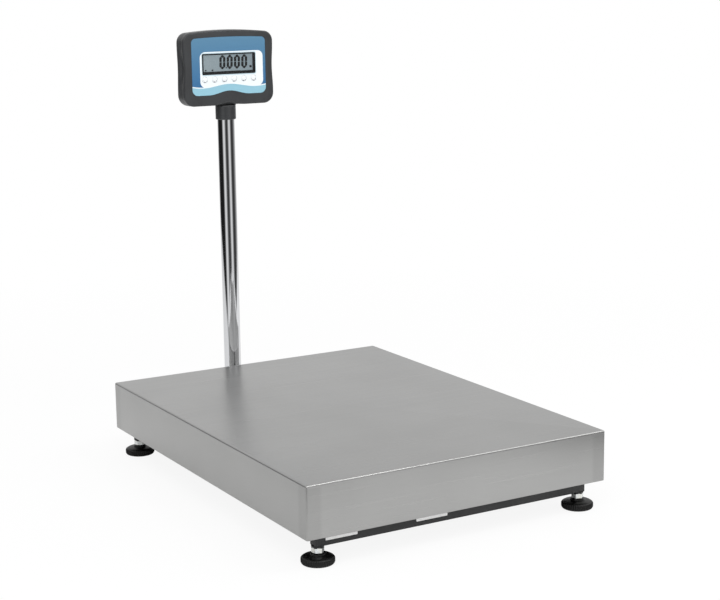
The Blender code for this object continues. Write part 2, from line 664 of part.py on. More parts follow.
def build_pan():
    """The loose pan: one sheet folded down on four sides."""
    low = (-PAN_WIDTH / 2, -PAN_LENGTH / 2, PAN_TOP - PAN_SKIRT)
    mesh = box_mesh("pan", low, (PAN_WIDTH / 2, PAN_LENGTH / 2, PAN_TOP))
    bm = bmesh.new()
    bm.from_mesh(mesh)
    open_side = [face for face in bm.faces if face.normal.z < -0.5]
    bmesh.ops.delete(bm, geom=open_side, context="FACES_ONLY")
    bm.to_mesh(mesh)
    bm.free()
    pan = add("pan", mesh, STAINLESS, (0, PLATFORM_Y, 0))
    bevel(pan, PAN_BEND, 3)
    sheet = pan.modifiers.new("sheet", "SOLIDIFY")
    sheet.thickness = PAN_SHEET
    sheet.offset = -1.0
    sheet.use_even_offset = True


def build_column():
    """The outrigger behind the base, the column's holder on it, the column and the level."""
    bar_back = PLATFORM_Y + FOOT_Y + BAR_WIDTH / 2 + GAP
    outrigger_end = COLUMN_Y + OUTRIGGER_WIDTH / 2
    square_tube("column_arm", (-OUTRIGGER_WIDTH / 2, bar_back, BAR_Z),
                (OUTRIGGER_WIDTH / 2, outrigger_end, BAR_Z + OUTRIGGER_HEIGHT),
                OUTRIGGER_WALL, "Y", BLACK_PAINT)

    bore = COLUMN_RADIUS + GAP
    outer = bore + HOLDER_WALL
    half = OUTRIGGER_WIDTH / 2
    holder = add("column_holder", box_mesh("column_holder", (-half, -half, HOLDER_Z),
                                           (half, half, HOLDER_Z + HOLDER_FLANGE)), BLACK_PAINT,
                 (0, COLUMN_Y, 0))
    sleeve = rod_mesh("holder_sleeve", outer, HOLDER_HEIGHT, sides=32, start=HOLDER_Z)
    boolean(holder, add("holder_sleeve", sleeve, None, (0, COLUMN_Y, 0)), "UNION")
    for name, turn in (("side", 0), ("back", math.pi / 2)):
        rib_top = outer - HOLDER_RIB_LAP
        rib_outline = [(-half, 0), (half, 0), (rib_top, HOLDER_RIB_HEIGHT), (-rib_top, HOLDER_RIB_HEIGHT)]
        rib = add("holder_rib_" + name, plate_mesh("holder_rib_" + name, rib_outline, HOLDER_RIB), None,
                  (0, COLUMN_Y, HOLDER_Z + HOLDER_FLANGE / 2))
        rib.rotation_euler.z = turn
        boolean(holder, rib, "UNION")
    hole = rod_mesh("holder_bore", bore, HOLDER_HEIGHT + 2 * CUT_OVER, sides=32,
                    start=HOLDER_Z - CUT_OVER)
    boolean(holder, add("holder_bore", hole, None, (0, COLUMN_Y, 0)))
    screw_z = HOLDER_Z + HOLDER_SCREW_Z
    cross = rod_mesh("holder_threads", SCREW_RADIUS + GAP, 2 * (outer + CUT_OVER), "X",
                     start=-outer - CUT_OVER, centres=((0, 0, screw_z),))
    boolean(holder, add("holder_threads", cross, None, (0, COLUMN_Y, 0)))
    reach = HOLDER_WALL + 2 * GAP
    for name, side in (("left", -1), ("right", 1)):
        hex_screw("column_screw_" + name, 2 * SCREW_HEAD, SCREW_HEAD_LENGTH, SCREW_RADIUS, reach,
                  (side * (COLUMN_RADIUS + GAP), COLUMN_Y, screw_z), turn=(0, side * math.pi / 2, 0))

    inner = COLUMN_RADIUS - COLUMN_WALL
    tube_profile = [(inner, COLUMN_TOP), (COLUMN_RADIUS, COLUMN_TOP), (COLUMN_RADIUS, HOLDER_Z),
                    (inner, HOLDER_Z)]
    turned("column_tube", tube_profile, CHROME, (0, COLUMN_Y, 0), steps=32, closed=True)

    level_y = (PLATFORM_Y + PAN_LENGTH / 2 + COLUMN_Y - half) / 2
    cup = LEVEL_RADIUS - LEVEL_WALL
    level_profile = [(0, LEVEL_FLOOR), (cup, LEVEL_FLOOR), (cup, LEVEL_HEIGHT),
                     (LEVEL_RADIUS - LEVEL_EDGE, LEVEL_HEIGHT), (LEVEL_RADIUS, LEVEL_HEIGHT - LEVEL_EDGE),
                     (LEVEL_RADIUS, 0), (0, 0)]
    turned("level_case", level_profile, NYLON, (0, level_y, HOLDER_Z), steps=24)
    vial = cup - GAP
    vial_top = LEVEL_HEIGHT - LEVEL_EDGE
    vial_profile = [(0, vial_top), (vial / 2, vial_top - LEVEL_CROWN), (vial, vial_top - LEVEL_EDGE),
                    (vial, LEVEL_FLOOR + GAP), (0, LEVEL_FLOOR + GAP)]
    turned("level_vial", vial_profile, LEVEL_FLUID, (0, level_y, HOLDER_Z), steps=24)


def build_neck(swivel):
    """The moulded neck: a socket over the column's top and a wide lug for the tilt pivot."""
    bore = COLUMN_RADIUS + GAP
    ceiling = -PIVOT_RISE - NECK_TOP
    low, top = ceiling - NECK_DEPTH, -PIVOT_RISE
    profile = [(0, top), (NECK_RADIUS - NECK_EDGE, top), (NECK_RADIUS, top - NECK_EDGE),
               (NECK_RADIUS, low + NECK_EDGE), (NECK_RADIUS - NECK_EDGE, low), (bore, low),
               (bore, ceiling), (0, ceiling)]
    neck = turned("neck_socket", profile, HOUSING_ABS, parent=swivel, steps=32)
    shoulder = -math.sqrt(LUG_RADIUS ** 2 - LUG_STEM ** 2)
    start = math.degrees(math.atan2(shoulder, LUG_STEM))
    foot_z = top - NECK_TOP / 2
    outline = [(-LUG_STEM, foot_z), (LUG_STEM, foot_z)] + arc((0, 0), LUG_RADIUS, start, 180 - start, 14)
    lug_mesh = plate_mesh("neck_lug", outline, 2 * LUG_HALF_WIDTH)
    lug = add("neck_lug", lug_mesh, None, parent=swivel)
    lug.rotation_euler.z = math.pi / 2
    boolean(neck, lug, "UNION")
    pin = rod_mesh("neck_pivot_hole", PIVOT_RADIUS + GAP, 2 * (LUG_HALF_WIDTH + CUT_OVER), "X",
                   start=-LUG_HALF_WIDTH - CUT_OVER)
    boolean(neck, add("neck_pivot_hole", pin, None, parent=swivel))
    screw_z = (low + ceiling) / 2
    thread = rod_mesh("neck_thread", SCREW_RADIUS + GAP, NECK_WALL + 2 * CUT_OVER, "Y",
                      start=COLUMN_RADIUS - CUT_OVER, centres=((0, 0, screw_z),))
    boolean(neck, add("neck_thread", thread, None, parent=swivel))
    hex_screw("swivel_screw", 2 * SCREW_HEAD, SCREW_HEAD_LENGTH, SCREW_RADIUS, NECK_WALL + 2 * GAP,
              (0, COLUMN_RADIUS + GAP, screw_z), parent=swivel, turn=(-math.pi / 2, 0, 0))
    reach = CHANNEL_HALF + CHANNEL_WALL + GAP
    shank = PIVOT_RADIUS
    bolt_profile = [(0, reach + PIVOT_HEAD_LENGTH), (PIVOT_HEAD_RADIUS, reach + PIVOT_HEAD_LENGTH),
                    (PIVOT_HEAD_RADIUS, reach), (shank, reach), (shank, -reach), (0, -reach)]
    bolt = turned("tilt_bolt", bolt_profile, ZINC, parent=swivel, steps=16)
    bolt.rotation_euler.y = math.pi / 2


def housing_outline(waist, inset=0.0, arch_rise=0.0):
    """The indicator's outline at one depth."""
    return soft_outline(HOUSING_WIDTH, HOUSING_HEIGHT, CORNER_TOP, CORNER_BOTTOM, CROWN,
                        (ARCH_HALF, arch_rise), (WAIST_HALF, waist), HOUSING_RAISE, inset)


def front_ring(depth, inset=0.0, waist=WAIST):
    """The front shell's outline at a depth behind its face, where the arch over the neck fades."""
    fade = max(0.0, 1 - depth / ARCH_DEPTH)
    rise = ARCH_INNER_RISE + (ARCH_RISE - ARCH_INNER_RISE) * fade
    return depth - HOUSING_FRONT, housing_outline(waist, inset, rise)


def overlay_outline(grow=0.0):
    """The overlay's outline, or its recess where it is grown by a gap."""
    return soft_outline(OVERLAY_WIDTH, OVERLAY_HEIGHT, OVERLAY_CORNER_TOP, OVERLAY_CORNER_BOTTOM,
                        OVERLAY_CROWN, (OVERLAY_ARCH_HALF, OVERLAY_ARCH_RISE), (WAIST_HALF, 0.0),
                        HOUSING_RAISE + OVERLAY_RAISE, -grow)


def window_cutter(name, grow, tilt):
    """A rounded block for the display window's opening, larger by a gap."""
    half_x, half_z = WINDOW_WIDTH / 2 + grow, WINDOW_HEIGHT / 2 + grow
    centre_z = HOUSING_RAISE + WINDOW_RAISE
    outline = []
    for x, z, start in ((1, -1, -90), (1, 1, 0), (-1, 1, 90), (-1, -1, 180)):
        corner = (x * (half_x - WINDOW_CORNER), centre_z + z * (half_z - WINDOW_CORNER))
        outline += arc(corner, WINDOW_CORNER, start, start + 90, 3)
    return add(name, plate_mesh(name, outline, 4 * HOUSING_FRONT), None, parent=tilt)


def key_centres(y=0.0):
    """Places of the keys in a row below the window."""
    first = -(KEY_COUNT - 1) / 2
    return [((first + i) * KEY_PITCH, y, HOUSING_RAISE - KEY_DROP) for i in range(KEY_COUNT)]


def build_front(tilt):
    """Front shell, overlay, window, display, circuit board and keys."""
    face = -HOUSING_FRONT
    depth = HOUSING_FRONT - HOUSING_PARTING
    rings = [front_ring(0.0, FRONT_ROUND), front_ring(FRONT_ROUND / 3, FRONT_ROUND / 3),
             front_ring(FRONT_ROUND), front_ring(ARCH_DEPTH), front_ring(depth, 0.0, GROOVE_MOUTH)]
    shell = add("front_housing", loft_mesh("front_housing", rings), HOUSING_ABS, parent=tilt)
    panel_back = face + FRONT_WALL
    hollow = [front_ring(FRONT_WALL, FRONT_WALL), front_ring(ARCH_DEPTH, FRONT_WALL),
              front_ring(depth, FRONT_WALL, GROOVE_MOUTH),
              front_ring(depth + CUT_OVER, FRONT_WALL, GROOVE_DEPTH)]
    boolean(shell, add("front_hollow", loft_mesh("front_hollow", hollow), None, parent=tilt))
    post_x, post_z = BOARD_WIDTH / 2 - POST_INSET, BOARD_HEIGHT / 2 - 2 * POST_RADIUS
    board_z = HOUSING_RAISE + WINDOW_RAISE + BOARD_RAISE
    posts = rod_mesh("board_posts", POST_RADIUS, BOARD_Y - GAP - panel_back + FRONT_WALL / 4, "Y", 10,
                     panel_back - FRONT_WALL / 4,
                     [(x * post_x, 0, board_z + z * post_z) for x in (-1, 1) for z in (-1, 1)])
    boolean(shell, add("board_posts", posts, None, parent=tilt), "UNION")

    sheet_y = face + OVERLAY_SHEET / 2
    recess_mesh = plate_mesh("overlay_recess", overlay_outline(GAP), 2 * (OVERLAY_SHEET + GAP))
    boolean(shell, add("overlay_recess", recess_mesh, None, (0, face, 0), tilt))
    opening = window_cutter("window_opening", GAP, tilt)
    boolean(shell, opening)
    wells = rod_mesh("key_wells", KEY_RADIUS + GAP, 4 * CUT_OVER, "Y", 16, face - CUT_OVER, key_centres())
    key_wells = add("key_wells", wells, None, parent=tilt)
    boolean(shell, key_wells)

    overlay = add("overlay", plate_mesh("overlay", overlay_outline(), OVERLAY_SHEET), OVERLAY_FILM,
                  (0, sheet_y, 0), tilt)
    boolean(overlay, opening)
    boolean(overlay, key_wells)

    window_z = HOUSING_RAISE + WINDOW_RAISE
    display_y = face + OVERLAY_SHEET + WINDOW_THICKNESS + DISPLAY_GAP
    pane_mesh = box_mesh("display_window", (-WINDOW_WIDTH / 2, face, window_z - WINDOW_HEIGHT / 2),
                         (WINDOW_WIDTH / 2, display_y - DISPLAY_GAP, window_z + WINDOW_HEIGHT / 2))
    window = add("display_window", pane_mesh, CLEAR, parent=tilt)
    window_round = window_cutter("window_round", 0.0, tilt)
    boolean(window, window_round, "INTERSECT")
    display_mesh = box_mesh("display_module", (-DISPLAY_WIDTH / 2, display_y, window_z - DISPLAY_HEIGHT / 2),
                            (DISPLAY_WIDTH / 2, display_y + DISPLAY_THICKNESS, window_z + DISPLAY_HEIGHT / 2))
    display = add("display_module", display_mesh, DISPLAY_GREEN, parent=tilt)
    bevel(display, DISPLAY_EDGE, 1)
    board_mesh = box_mesh("main_board", (-BOARD_WIDTH / 2, BOARD_Y, board_z - BOARD_HEIGHT / 2),
                          (BOARD_WIDTH / 2, BOARD_Y + BOARD_THICKNESS, board_z + BOARD_HEIGHT / 2))
    add("main_board", board_mesh, BOARD_GREEN, parent=tilt)

    back = panel_back + GAP - face
    foot = BOARD_Y - face - KEY_TRAVEL - GAP / 3
    dome = [(KEY_RADIUS * across, KEY_PROUD * up) for across, up in KEY_DOME]
    profile = [(0, KEY_PROUD), *dome, (KEY_RADIUS, 0), (KEY_RADIUS, -back), (KEY_RADIUS + KEY_FLANGE, -back),
               (KEY_RADIUS + KEY_FLANGE, -back - KEY_FLANGE_HEIGHT),
               (KEY_STEM_RADIUS, -back - KEY_FLANGE_HEIGHT), (KEY_STEM_RADIUS, -foot), (0, -foot)]
    for i, place in enumerate(key_centres(face)):
        key = turned("key_%d" % (i + 1), profile, KEY_WHITE, place, tilt, steps=14)
        key.rotation_euler.x = math.pi / 2


def build_back(tilt):
    """Rear shell with the channel for the neck, battery, its cover, gland and charger inlet."""
    start = -HOUSING_PARTING + GAP
    groove = ((-GROOVE_FRONT, GROOVE_DEPTH), (-GROOVE_REAR, GROOVE_DEPTH), (GROOVE_END, WAIST),
              (HOUSING_SIDE_BACK, WAIST_BACK))
    rings = [(start, housing_outline(GROOVE_MOUTH)),
             *[(y, housing_outline(waist)) for y, waist in groove],
             (HOUSING_SLOPE_BACK, housing_outline(WAIST_BACK, SLOPE_INSET)),
             (HOUSING_BACK, housing_outline(WAIST_BACK, BACK_INSET))]
    shell = add("rear_housing", loft_mesh("rear_housing", rings), HOUSING_ABS, parent=tilt)
    wall = REAR_WALL
    inner = [(start - CUT_OVER, housing_outline(GROOVE_MOUTH, wall)),
             *[(y, housing_outline(waist, wall)) for y, waist in groove],
             (HOUSING_SLOPE_BACK - wall / 2, housing_outline(WAIST_BACK, SLOPE_INSET + wall)),
             (HOUSING_BACK - wall, housing_outline(WAIST_BACK, BACK_INSET + wall / 2))]
    hollow = add("rear_hollow", loft_mesh("rear_hollow", inner), None, parent=tilt)
    bottom = HOUSING_RAISE - HOUSING_HEIGHT / 2
    outer_half = CHANNEL_HALF + CHANNEL_WALL
    roof = CHANNEL_ROOF + CHANNEL_WALL
    well = box_mesh("channel_walls", (-outer_half, start - 2 * CUT_OVER, bottom - CUT_OVER),
                    (outer_half, HOUSING_BACK + CUT_OVER, roof))
    boolean(hollow, add("channel_walls", well, None, parent=tilt))
    boolean(shell, hollow)
    partition = box_mesh("partition", (-outer_half, -CHANNEL_FRONT - CHANNEL_WALL, -PARTITION_DROP),
                         (outer_half, start + CHANNEL_WALL / 2, roof))
    boolean(shell, add("partition", partition, None, parent=tilt), "UNION")
    channel = box_mesh("neck_channel", (-CHANNEL_HALF, -CHANNEL_FRONT, bottom - 2 * CUT_OVER),
                       (CHANNEL_HALF, HOUSING_BACK + CUT_OVER, CHANNEL_ROOF))
    boolean(shell, add("neck_channel", channel, None, parent=tilt))
    pivot = rod_mesh("housing_pivot_holes", PIVOT_RADIUS + GAP, 2 * (outer_half + CUT_OVER), "X",
                     start=-outer_half - CUT_OVER)
    boolean(shell, add("housing_pivot_holes", pivot, None, parent=tilt))

    middle = HOUSING_RAISE + BATTERY_RAISE
    half_x, half_z = BATTERY_WIDTH / 2, BATTERY_HEIGHT / 2
    mouth = box_mesh("battery_mouth", (-half_x - BATTERY_PLAY, HOUSING_BACK - 2 * wall,
                                       middle - half_z - BATTERY_PLAY),
                     (half_x + BATTERY_PLAY, HOUSING_BACK + CUT_OVER, middle + half_z + BATTERY_PLAY))
    boolean(shell, add("battery_mouth", mouth, None, parent=tilt))
    lap_x, lap_z = half_x + BATTERY_PLAY + COVER_LAP, half_z + BATTERY_PLAY + COVER_LAP
    seat_y = HOUSING_BACK - COVER_THICKNESS - GAP
    seat = box_mesh("cover_seat", (-lap_x - GAP, seat_y, middle - lap_z - GAP),
                    (lap_x + GAP, HOUSING_BACK + CUT_OVER, middle + lap_z + GAP))
    boolean(shell, add("cover_seat", seat, None, parent=tilt))
    cover_y = HOUSING_BACK - COVER_THICKNESS
    cover = add("battery_cover", box_mesh("battery_cover", (-lap_x, cover_y, middle - lap_z),
                                          (lap_x, HOUSING_BACK, middle + lap_z)), HOUSING_ABS, parent=tilt)
    grip = rod_mesh("cover_grip", COVER_LAP, COVER_THICKNESS, "Y", 16, HOUSING_BACK - COVER_THICKNESS / 2,
                    [(x * GRIP_PITCH, 0, middle - lap_z + 2 * COVER_LAP) for x in (-1, 0, 1)])
    boolean(cover, add("cover_grip", grip, None, parent=tilt))
    battery = add("battery", box_mesh("battery", (-half_x, cover_y - GAP - BATTERY_DEPTH, middle - half_z),
                                      (half_x, cover_y - GAP, middle + half_z)), BATTERY_GREY, parent=tilt)
    bevel(battery, BATTERY_EDGE, 1)

    hole_z = GLAND_RAISE
    for name, x, radius in (("gland_hole", -GLAND_X, GLAND_RADIUS), ("inlet_hole", GLAND_X, INLET_RADIUS)):
        hole = rod_mesh(name, radius + GAP, 2 * wall + CUT_OVER, "Y", 16, HOUSING_BACK - 2 * wall,
                        ((x, 0, hole_z),))
        boolean(shell, add(name, hole, None, parent=tilt))
    nose = CABLE_RADIUS + GAP
    out, cap = GLAND_OUT, GLAND_NUT - GLAND_STEP
    gland_profile = [(nose, out), (GLAND_RADIUS, out), (cap, out - GLAND_NOSE),
                     (cap, out / 3), (GLAND_NUT, out / 3), (GLAND_NUT, GAP),
                     (GLAND_RADIUS, GAP), (GLAND_RADIUS, -2 * wall), (nose, -2 * wall)]
    gland = turned("cable_gland", gland_profile, NYLON, (-GLAND_X, HOUSING_BACK, hole_z), tilt,
                   steps=16, closed=True)
    gland.rotation_euler.x = -math.pi / 2
    inlet_profile = [(0, -INLET_DEPTH + INLET_LIP), (INLET_PIN_RADIUS, -INLET_DEPTH + INLET_LIP),
                     (INLET_PIN_RADIUS, INLET_LIP), (INLET_FLANGE, INLET_LIP), (INLET_FLANGE, GAP),
                     (INLET_RADIUS, GAP), (INLET_RADIUS, -INLET_DEPTH), (0, -INLET_DEPTH)]
    inlet = turned("charger_inlet", inlet_profile, NYLON, (GLAND_X, HOUSING_BACK, hole_z), tilt, steps=16)
    inlet.rotation_euler.x = -math.pi / 2


for corner_name, (corner_x, corner_y) in CORNERS.items():
    build_foot(corner_name, corner_x, corner_y)
build_base()
build_load_cell()
build_spider()
build_pan()
build_column()
swivel_axis = axis_empty("swivel_axis", (0, COLUMN_Y, PIVOT_Z))
build_neck(swivel_axis)
tilt_axis = axis_empty("tilt_axis", (0, 0, 0), swivel_axis)
build_front(tilt_axis)
build_back(tilt_axis)
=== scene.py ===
"""Looks of a platform scale: stainless pan, black steel base, chromed column, grey indicator."""
import json
import math

import bmesh
import bpy
import numpy as np
from mathutils import Matrix, Vector


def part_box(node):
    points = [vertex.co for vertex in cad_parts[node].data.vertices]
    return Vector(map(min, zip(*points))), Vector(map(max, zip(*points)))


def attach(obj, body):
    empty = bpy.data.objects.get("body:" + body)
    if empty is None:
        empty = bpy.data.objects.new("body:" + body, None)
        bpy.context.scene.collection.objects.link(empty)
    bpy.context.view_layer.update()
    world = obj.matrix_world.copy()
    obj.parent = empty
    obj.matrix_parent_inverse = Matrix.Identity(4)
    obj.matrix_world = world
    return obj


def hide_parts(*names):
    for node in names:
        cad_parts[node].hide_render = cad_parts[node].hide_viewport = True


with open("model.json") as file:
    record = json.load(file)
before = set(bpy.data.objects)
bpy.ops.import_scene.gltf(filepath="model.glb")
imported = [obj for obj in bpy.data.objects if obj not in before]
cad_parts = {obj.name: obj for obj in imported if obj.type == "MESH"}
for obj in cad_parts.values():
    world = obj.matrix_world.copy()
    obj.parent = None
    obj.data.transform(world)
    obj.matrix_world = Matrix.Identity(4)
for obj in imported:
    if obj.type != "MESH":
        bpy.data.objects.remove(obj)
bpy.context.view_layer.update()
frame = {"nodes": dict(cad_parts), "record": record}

# Camera: in front of the scale and to its left, a little above the pan, held almost level.
MM = 0.001
IMAGE_WIDTH_PX = 720
SENSOR_MM = 36.0
FOCAL_PX = 1659.16
CAMERA_TURN = math.radians(-30.14)
CAMERA_RISE = math.radians(11.372)
CAMERA_ROLL = math.radians(-0.738)
CAMERA_PLACE = Vector((-1.4877, -2.6240, 0.8071))
CAMERA_REACH = 900.0
pan_low, pan_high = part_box("pan")
pan_centre = Vector((0, (pan_low.y + pan_high.y) / 2, pan_high.z))
back = Vector((math.sin(CAMERA_TURN) * math.cos(CAMERA_RISE),
               -math.cos(CAMERA_TURN) * math.cos(CAMERA_RISE), math.sin(CAMERA_RISE)))
level_right = Vector((0, 0, 1)).cross(back).normalized()
level_up = back.cross(level_right)
right = math.cos(CAMERA_ROLL) * level_right + math.sin(CAMERA_ROLL) * level_up
up = -math.sin(CAMERA_ROLL) * level_right + math.cos(CAMERA_ROLL) * level_up
camera = bpy.data.objects.new("camera", bpy.data.cameras.new("camera"))
bpy.context.scene.collection.objects.link(camera)
camera.data.sensor_width = SENSOR_MM
camera.data.lens = SENSOR_MM * FOCAL_PX / IMAGE_WIDTH_PX
camera.data.clip_end = CAMERA_REACH
turned_frame = Matrix((right, up, back)).transposed().to_4x4()
camera.matrix_world = Matrix.Translation(pan_centre + CAMERA_PLACE) @ turned_frame
bpy.context.scene.camera = camera
bpy.context.scene.view_settings.view_transform = "Standard"


# Studio: a pale floor, an even pale world and soft lamps.  Mirror-like metal sees a white
# room with a few dark stretches between its soft boxes, on the walls and on the far floor.
def add(tree, kind, inputs=None, **settings):
    """Add a shader node; an input is a number, a colour or another node's output."""
    made = tree.nodes.new("ShaderNode" + kind)
    for name, value in settings.items():
        setattr(made, name, value)
    for name, value in (inputs or {}).items():
        if isinstance(value, bpy.types.NodeSocket):
            tree.links.new(value, made.inputs[name])
        else:
            made.inputs[name].default_value = value
    return made


def rgb(code):
    """An sRGB hex colour as linear RGBA: c/12.92 below 0.04045, else ((c+0.055)/1.055)^2.4."""
    c = np.array([int(code[i:i + 2], 16) for i in (0, 2, 4)]) / 255
    linear = np.where(c <= 0.04045, c / 12.92, ((c + 0.055) / 1.055) ** 2.4)
    return (*(float(v) for v in linear), 1.0)


FLOOR_HALF = 300.0
WORLD_LEVEL = 0.72
# The shadow fades out between two distances from the middle.  Each near circle of the floor has
# its centre, and the two distances between which the far floor takes over.
SHADOW_SHARE = 0.10
SHADOW_REACH = (0.9, 2.2)
NEAR_FLOOR = ((0.43, 1.63, 1.85, 2.15), (0.0, -0.45, 0.80, 1.0))
# Grey levels of the room by azimuth, from -180 to 180 degrees, 0 along +Y and 90 along +X.
ROOM = [(-180, 0.45), (-172, 0.12), (-165, 0.05), (-150, 0.05), (-141, 0.22), (-130, 0.80), (-119, 0.95),
        (-110, 0.70), (-102, 0.20), (-95, 0.015), (-28, 0.015), (-12, 0.50), (20, 0.80), (60, 0.70),
        (85, 0.35), (102, 0.15), (116, 0.05), (138, 0.05), (149, 0.28), (158, 0.80), (170, 0.92),
        (177, 0.60), (180, 0.45)]


def room_bands(tree, direction):
    """The room's grey levels, read by the azimuth of a direction."""
    around = add(tree, "SeparateXYZ", {"Vector": direction})
    azimuth = add(tree, "Math", {0: around.outputs["X"], 1: around.outputs["Y"]}, operation="ARCTAN2")
    turn = add(tree, "MapRange", {"Value": azimuth.outputs[0], "From Min": -math.pi, "From Max": math.pi})
    bands = add(tree, "ValToRGB", {"Fac": turn.outputs[0]})
    for angle, level in ROOM[1:-1]:
        bands.color_ramp.elements.new((angle + 180) / 360)
    for element, (angle, level) in zip(bands.color_ramp.elements, ROOM):
        element.position = (angle + 180) / 360
        element.color = (level, level, level, 1)
    return bands.outputs["Color"], around


def any_of(tree, *rays):
    """1 where any of some ray kinds is 1."""
    found = rays[0]
    for ray in rays[1:]:
        found = add(tree, "Math", {0: found, 1: ray}, operation="MAXIMUM").outputs[0]
    return found


world = bpy.data.worlds.new("studio")
bpy.context.scene.world = world
world.use_nodes = True
sky = world.node_tree
sky.nodes.clear()
rays = add(sky, "LightPath").outputs
bands, around = room_bands(sky, add(sky, "TexCoord").outputs["Generated"])
height = add(sky, "MapRange", {"Value": around.outputs["Z"], "From Min": 0.10, "From Max": 0.45})
room = add(sky, "MixRGB", {"Fac": height.outputs[0], "Color1": bands, "Color2": (0.85, 0.85, 0.85, 1)})
seen = add(sky, "MixRGB", {"Fac": rays["Is Glossy Ray"], "Color1": (1, 1, 1, 1),
                           "Color2": room.outputs["Color"]})
direct = any_of(sky, rays["Is Camera Ray"], rays["Is Glossy Ray"], rays["Is Transmission Ray"])
colour = add(sky, "MixRGB", {"Fac": direct, "Color1": (WORLD_LEVEL, WORLD_LEVEL, WORLD_LEVEL, 1),
                             "Color2": seen.outputs["Color"]})
lit = add(sky, "Background", {"Color": colour.outputs["Color"], "Strength": 1.0})
add(sky, "OutputWorld", {"Surface": lit.outputs[0]})

bpy.ops.mesh.primitive_plane_add(size=2 * FLOOR_HALF)
floor = bpy.context.object
floor.name = "floor"
pale = bpy.data.materials.new("pale_floor")
pale.use_nodes = True
tree = pale.node_tree
tree.nodes.clear()
rays = add(tree, "LightPath").outputs
place = add(tree, "TexCoord").outputs["Object"]
# The floor is white to the eye, with a part of the lit floor mixed in near the object, which
# carries its shadow and fades out before the horizon.
reach = add(tree, "VectorMath", {0: place}, operation="LENGTH")
fade = add(tree, "MapRange", {"Value": reach.outputs["Value"], "From Min": SHADOW_REACH[0],
                              "From Max": SHADOW_REACH[1], "To Min": 1 - SHADOW_SHARE, "To Max": 1.0})
white = add(tree, "Math", {0: any_of(tree, rays["Is Camera Ray"], rays["Is Transmission Ray"]),
                           1: fade.outputs[0]}, operation="MULTIPLY")
# Reflections see the lit floor near the object, and the room's dark stretches further out.
column_low, column_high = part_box("column_tube")
column_spot = ((column_low.x + column_high.x) / 2, (column_low.y + column_high.y) / 2, 0)
from_column = add(tree, "VectorMath", {0: place, 1: column_spot}, operation="SUBTRACT")
bands, around = room_bands(tree, from_column.outputs[0])
far = rays["Is Glossy Ray"]
for x, y, start, end in NEAR_FLOOR:
    distance = add(tree, "VectorMath", {0: place, 1: (x, y, 0)}, operation="DISTANCE")
    ring = add(tree, "MapRange", {"Value": distance.outputs["Value"], "From Min": start, "From Max": end})
    far = add(tree, "Math", {0: far, 1: ring.outputs[0]}, operation="MULTIPLY").outputs[0]
matt = add(tree, "BsdfDiffuse", {"Color": rgb("FAFAFA")})
paint = add(tree, "Emission", {"Color": bands, "Strength": 1.0})
glow = add(tree, "Emission", {"Color": (1, 1, 1, 1), "Strength": 1.0})
reflected = add(tree, "MixShader", {0: far, 1: matt.outputs[0], 2: paint.outputs[0]})
mixed = add(tree, "MixShader", {0: white.outputs[0], 1: reflected.outputs[0], 2: glow.outputs[0]})
add(tree, "OutputMaterial", {"Surface": mixed.outputs[0]})
floor.data.materials.append(pale)

# Soft boxes: place, width and power.
LAMPS = {
    "key_lamp": ((-1.6, -2.2, 3.2), 2.4, 46.0),
    "fill_lamp": ((2.6, -1.2, 2.2), 2.0, 19.0),
    "edge_lamp": ((0.8, -1.2, 2.25), 0.6, 8.0),
}
for name, (place, size, power) in LAMPS.items():
    lamp = bpy.data.lights.new(name, "AREA")
    lamp.size = size
    lamp.energy = power
    holder = bpy.data.objects.new(name, lamp)
    bpy.context.scene.collection.objects.link(holder)
    holder.location = place
    holder.rotation_euler = (Vector(place) - Vector((0, 0, 0.2))).to_track_quat("Z", "Y").to_euler()


# Pan: one stainless sheet 1.5 mm thick, folded down on four sides with a soft bend and
# welded and dressed at its corners, where a darker upright band is painted shade.
# It is finely brushed and lies loose on four rubbers.
PAN_SHEET = 1.5 * MM
PAN_BEND = 3.5 * MM
PAN_CORNER = 3.0 * MM
LIP = 0.4 * MM


def material(name, colour, roughness, metallic=0.0, **sockets):
    """A Principled material; returns it with its tree, its shader and its Object coordinates."""
    made = bpy.data.materials.new(name)
    made.use_nodes = True
    tree = made.node_tree
    tree.nodes.clear()
    values = {"Base Color": rgb(colour), "Roughness": roughness, "Metallic": metallic}
    values.update({key.replace("_", " "): value for key, value in sockets.items()})
    shader = add(tree, "BsdfPrincipled", values)
    add(tree, "OutputMaterial", {"Surface": shader.outputs[0]})
    return made, tree, shader, add(tree, "TexCoord").outputs["Object"]


def grain(tree, coordinates, size_mm, detail=2.0):
    """Noise with one lump per size, which may differ along X, Y and Z; sizes in millimetres."""
    scale = [1000 / s for s in (size_mm if hasattr(size_mm, "__len__") else [size_mm] * 3)]
    spread = add(tree, "Mapping", {"Vector": coordinates, "Scale": scale})
    return add(tree, "TexNoise", {"Vector": spread.outputs[0], "Scale": 1.0, "Detail": detail}).outputs[0]


def vary(tree, socket, noise, low, high):
    """Let a noise swing one of a shader's numbers between two values."""
    swing = add(tree, "MapRange", {"Value": noise, "From Min": 0.3, "From Max": 0.7,
                                   "To Min": low, "To Max": high})
    tree.links.new(swing.outputs[0], socket)


def mottle(tree, shader, noise, dark, light):
    """Let a noise swing the base colour between two sRGB hex colours."""
    spread = add(tree, "MapRange", {"Value": noise, "From Min": 0.3, "From Max": 0.7})
    mixed = add(tree, "MixRGB", {"Fac": spread.outputs[0], "Color1": rgb(dark), "Color2": rgb(light)})
    tree.links.new(mixed.outputs[0], shader.inputs["Base Color"])


def roughen(tree, shader, noise, depth_mm, strength=1.0):
    """Let a noise stand up as a bump of a real depth."""
    bump = add(tree, "Bump", {"Height": noise, "Distance": depth_mm * MM, "Strength": strength})
    tree.links.new(bump.outputs[0], shader.inputs["Normal"])


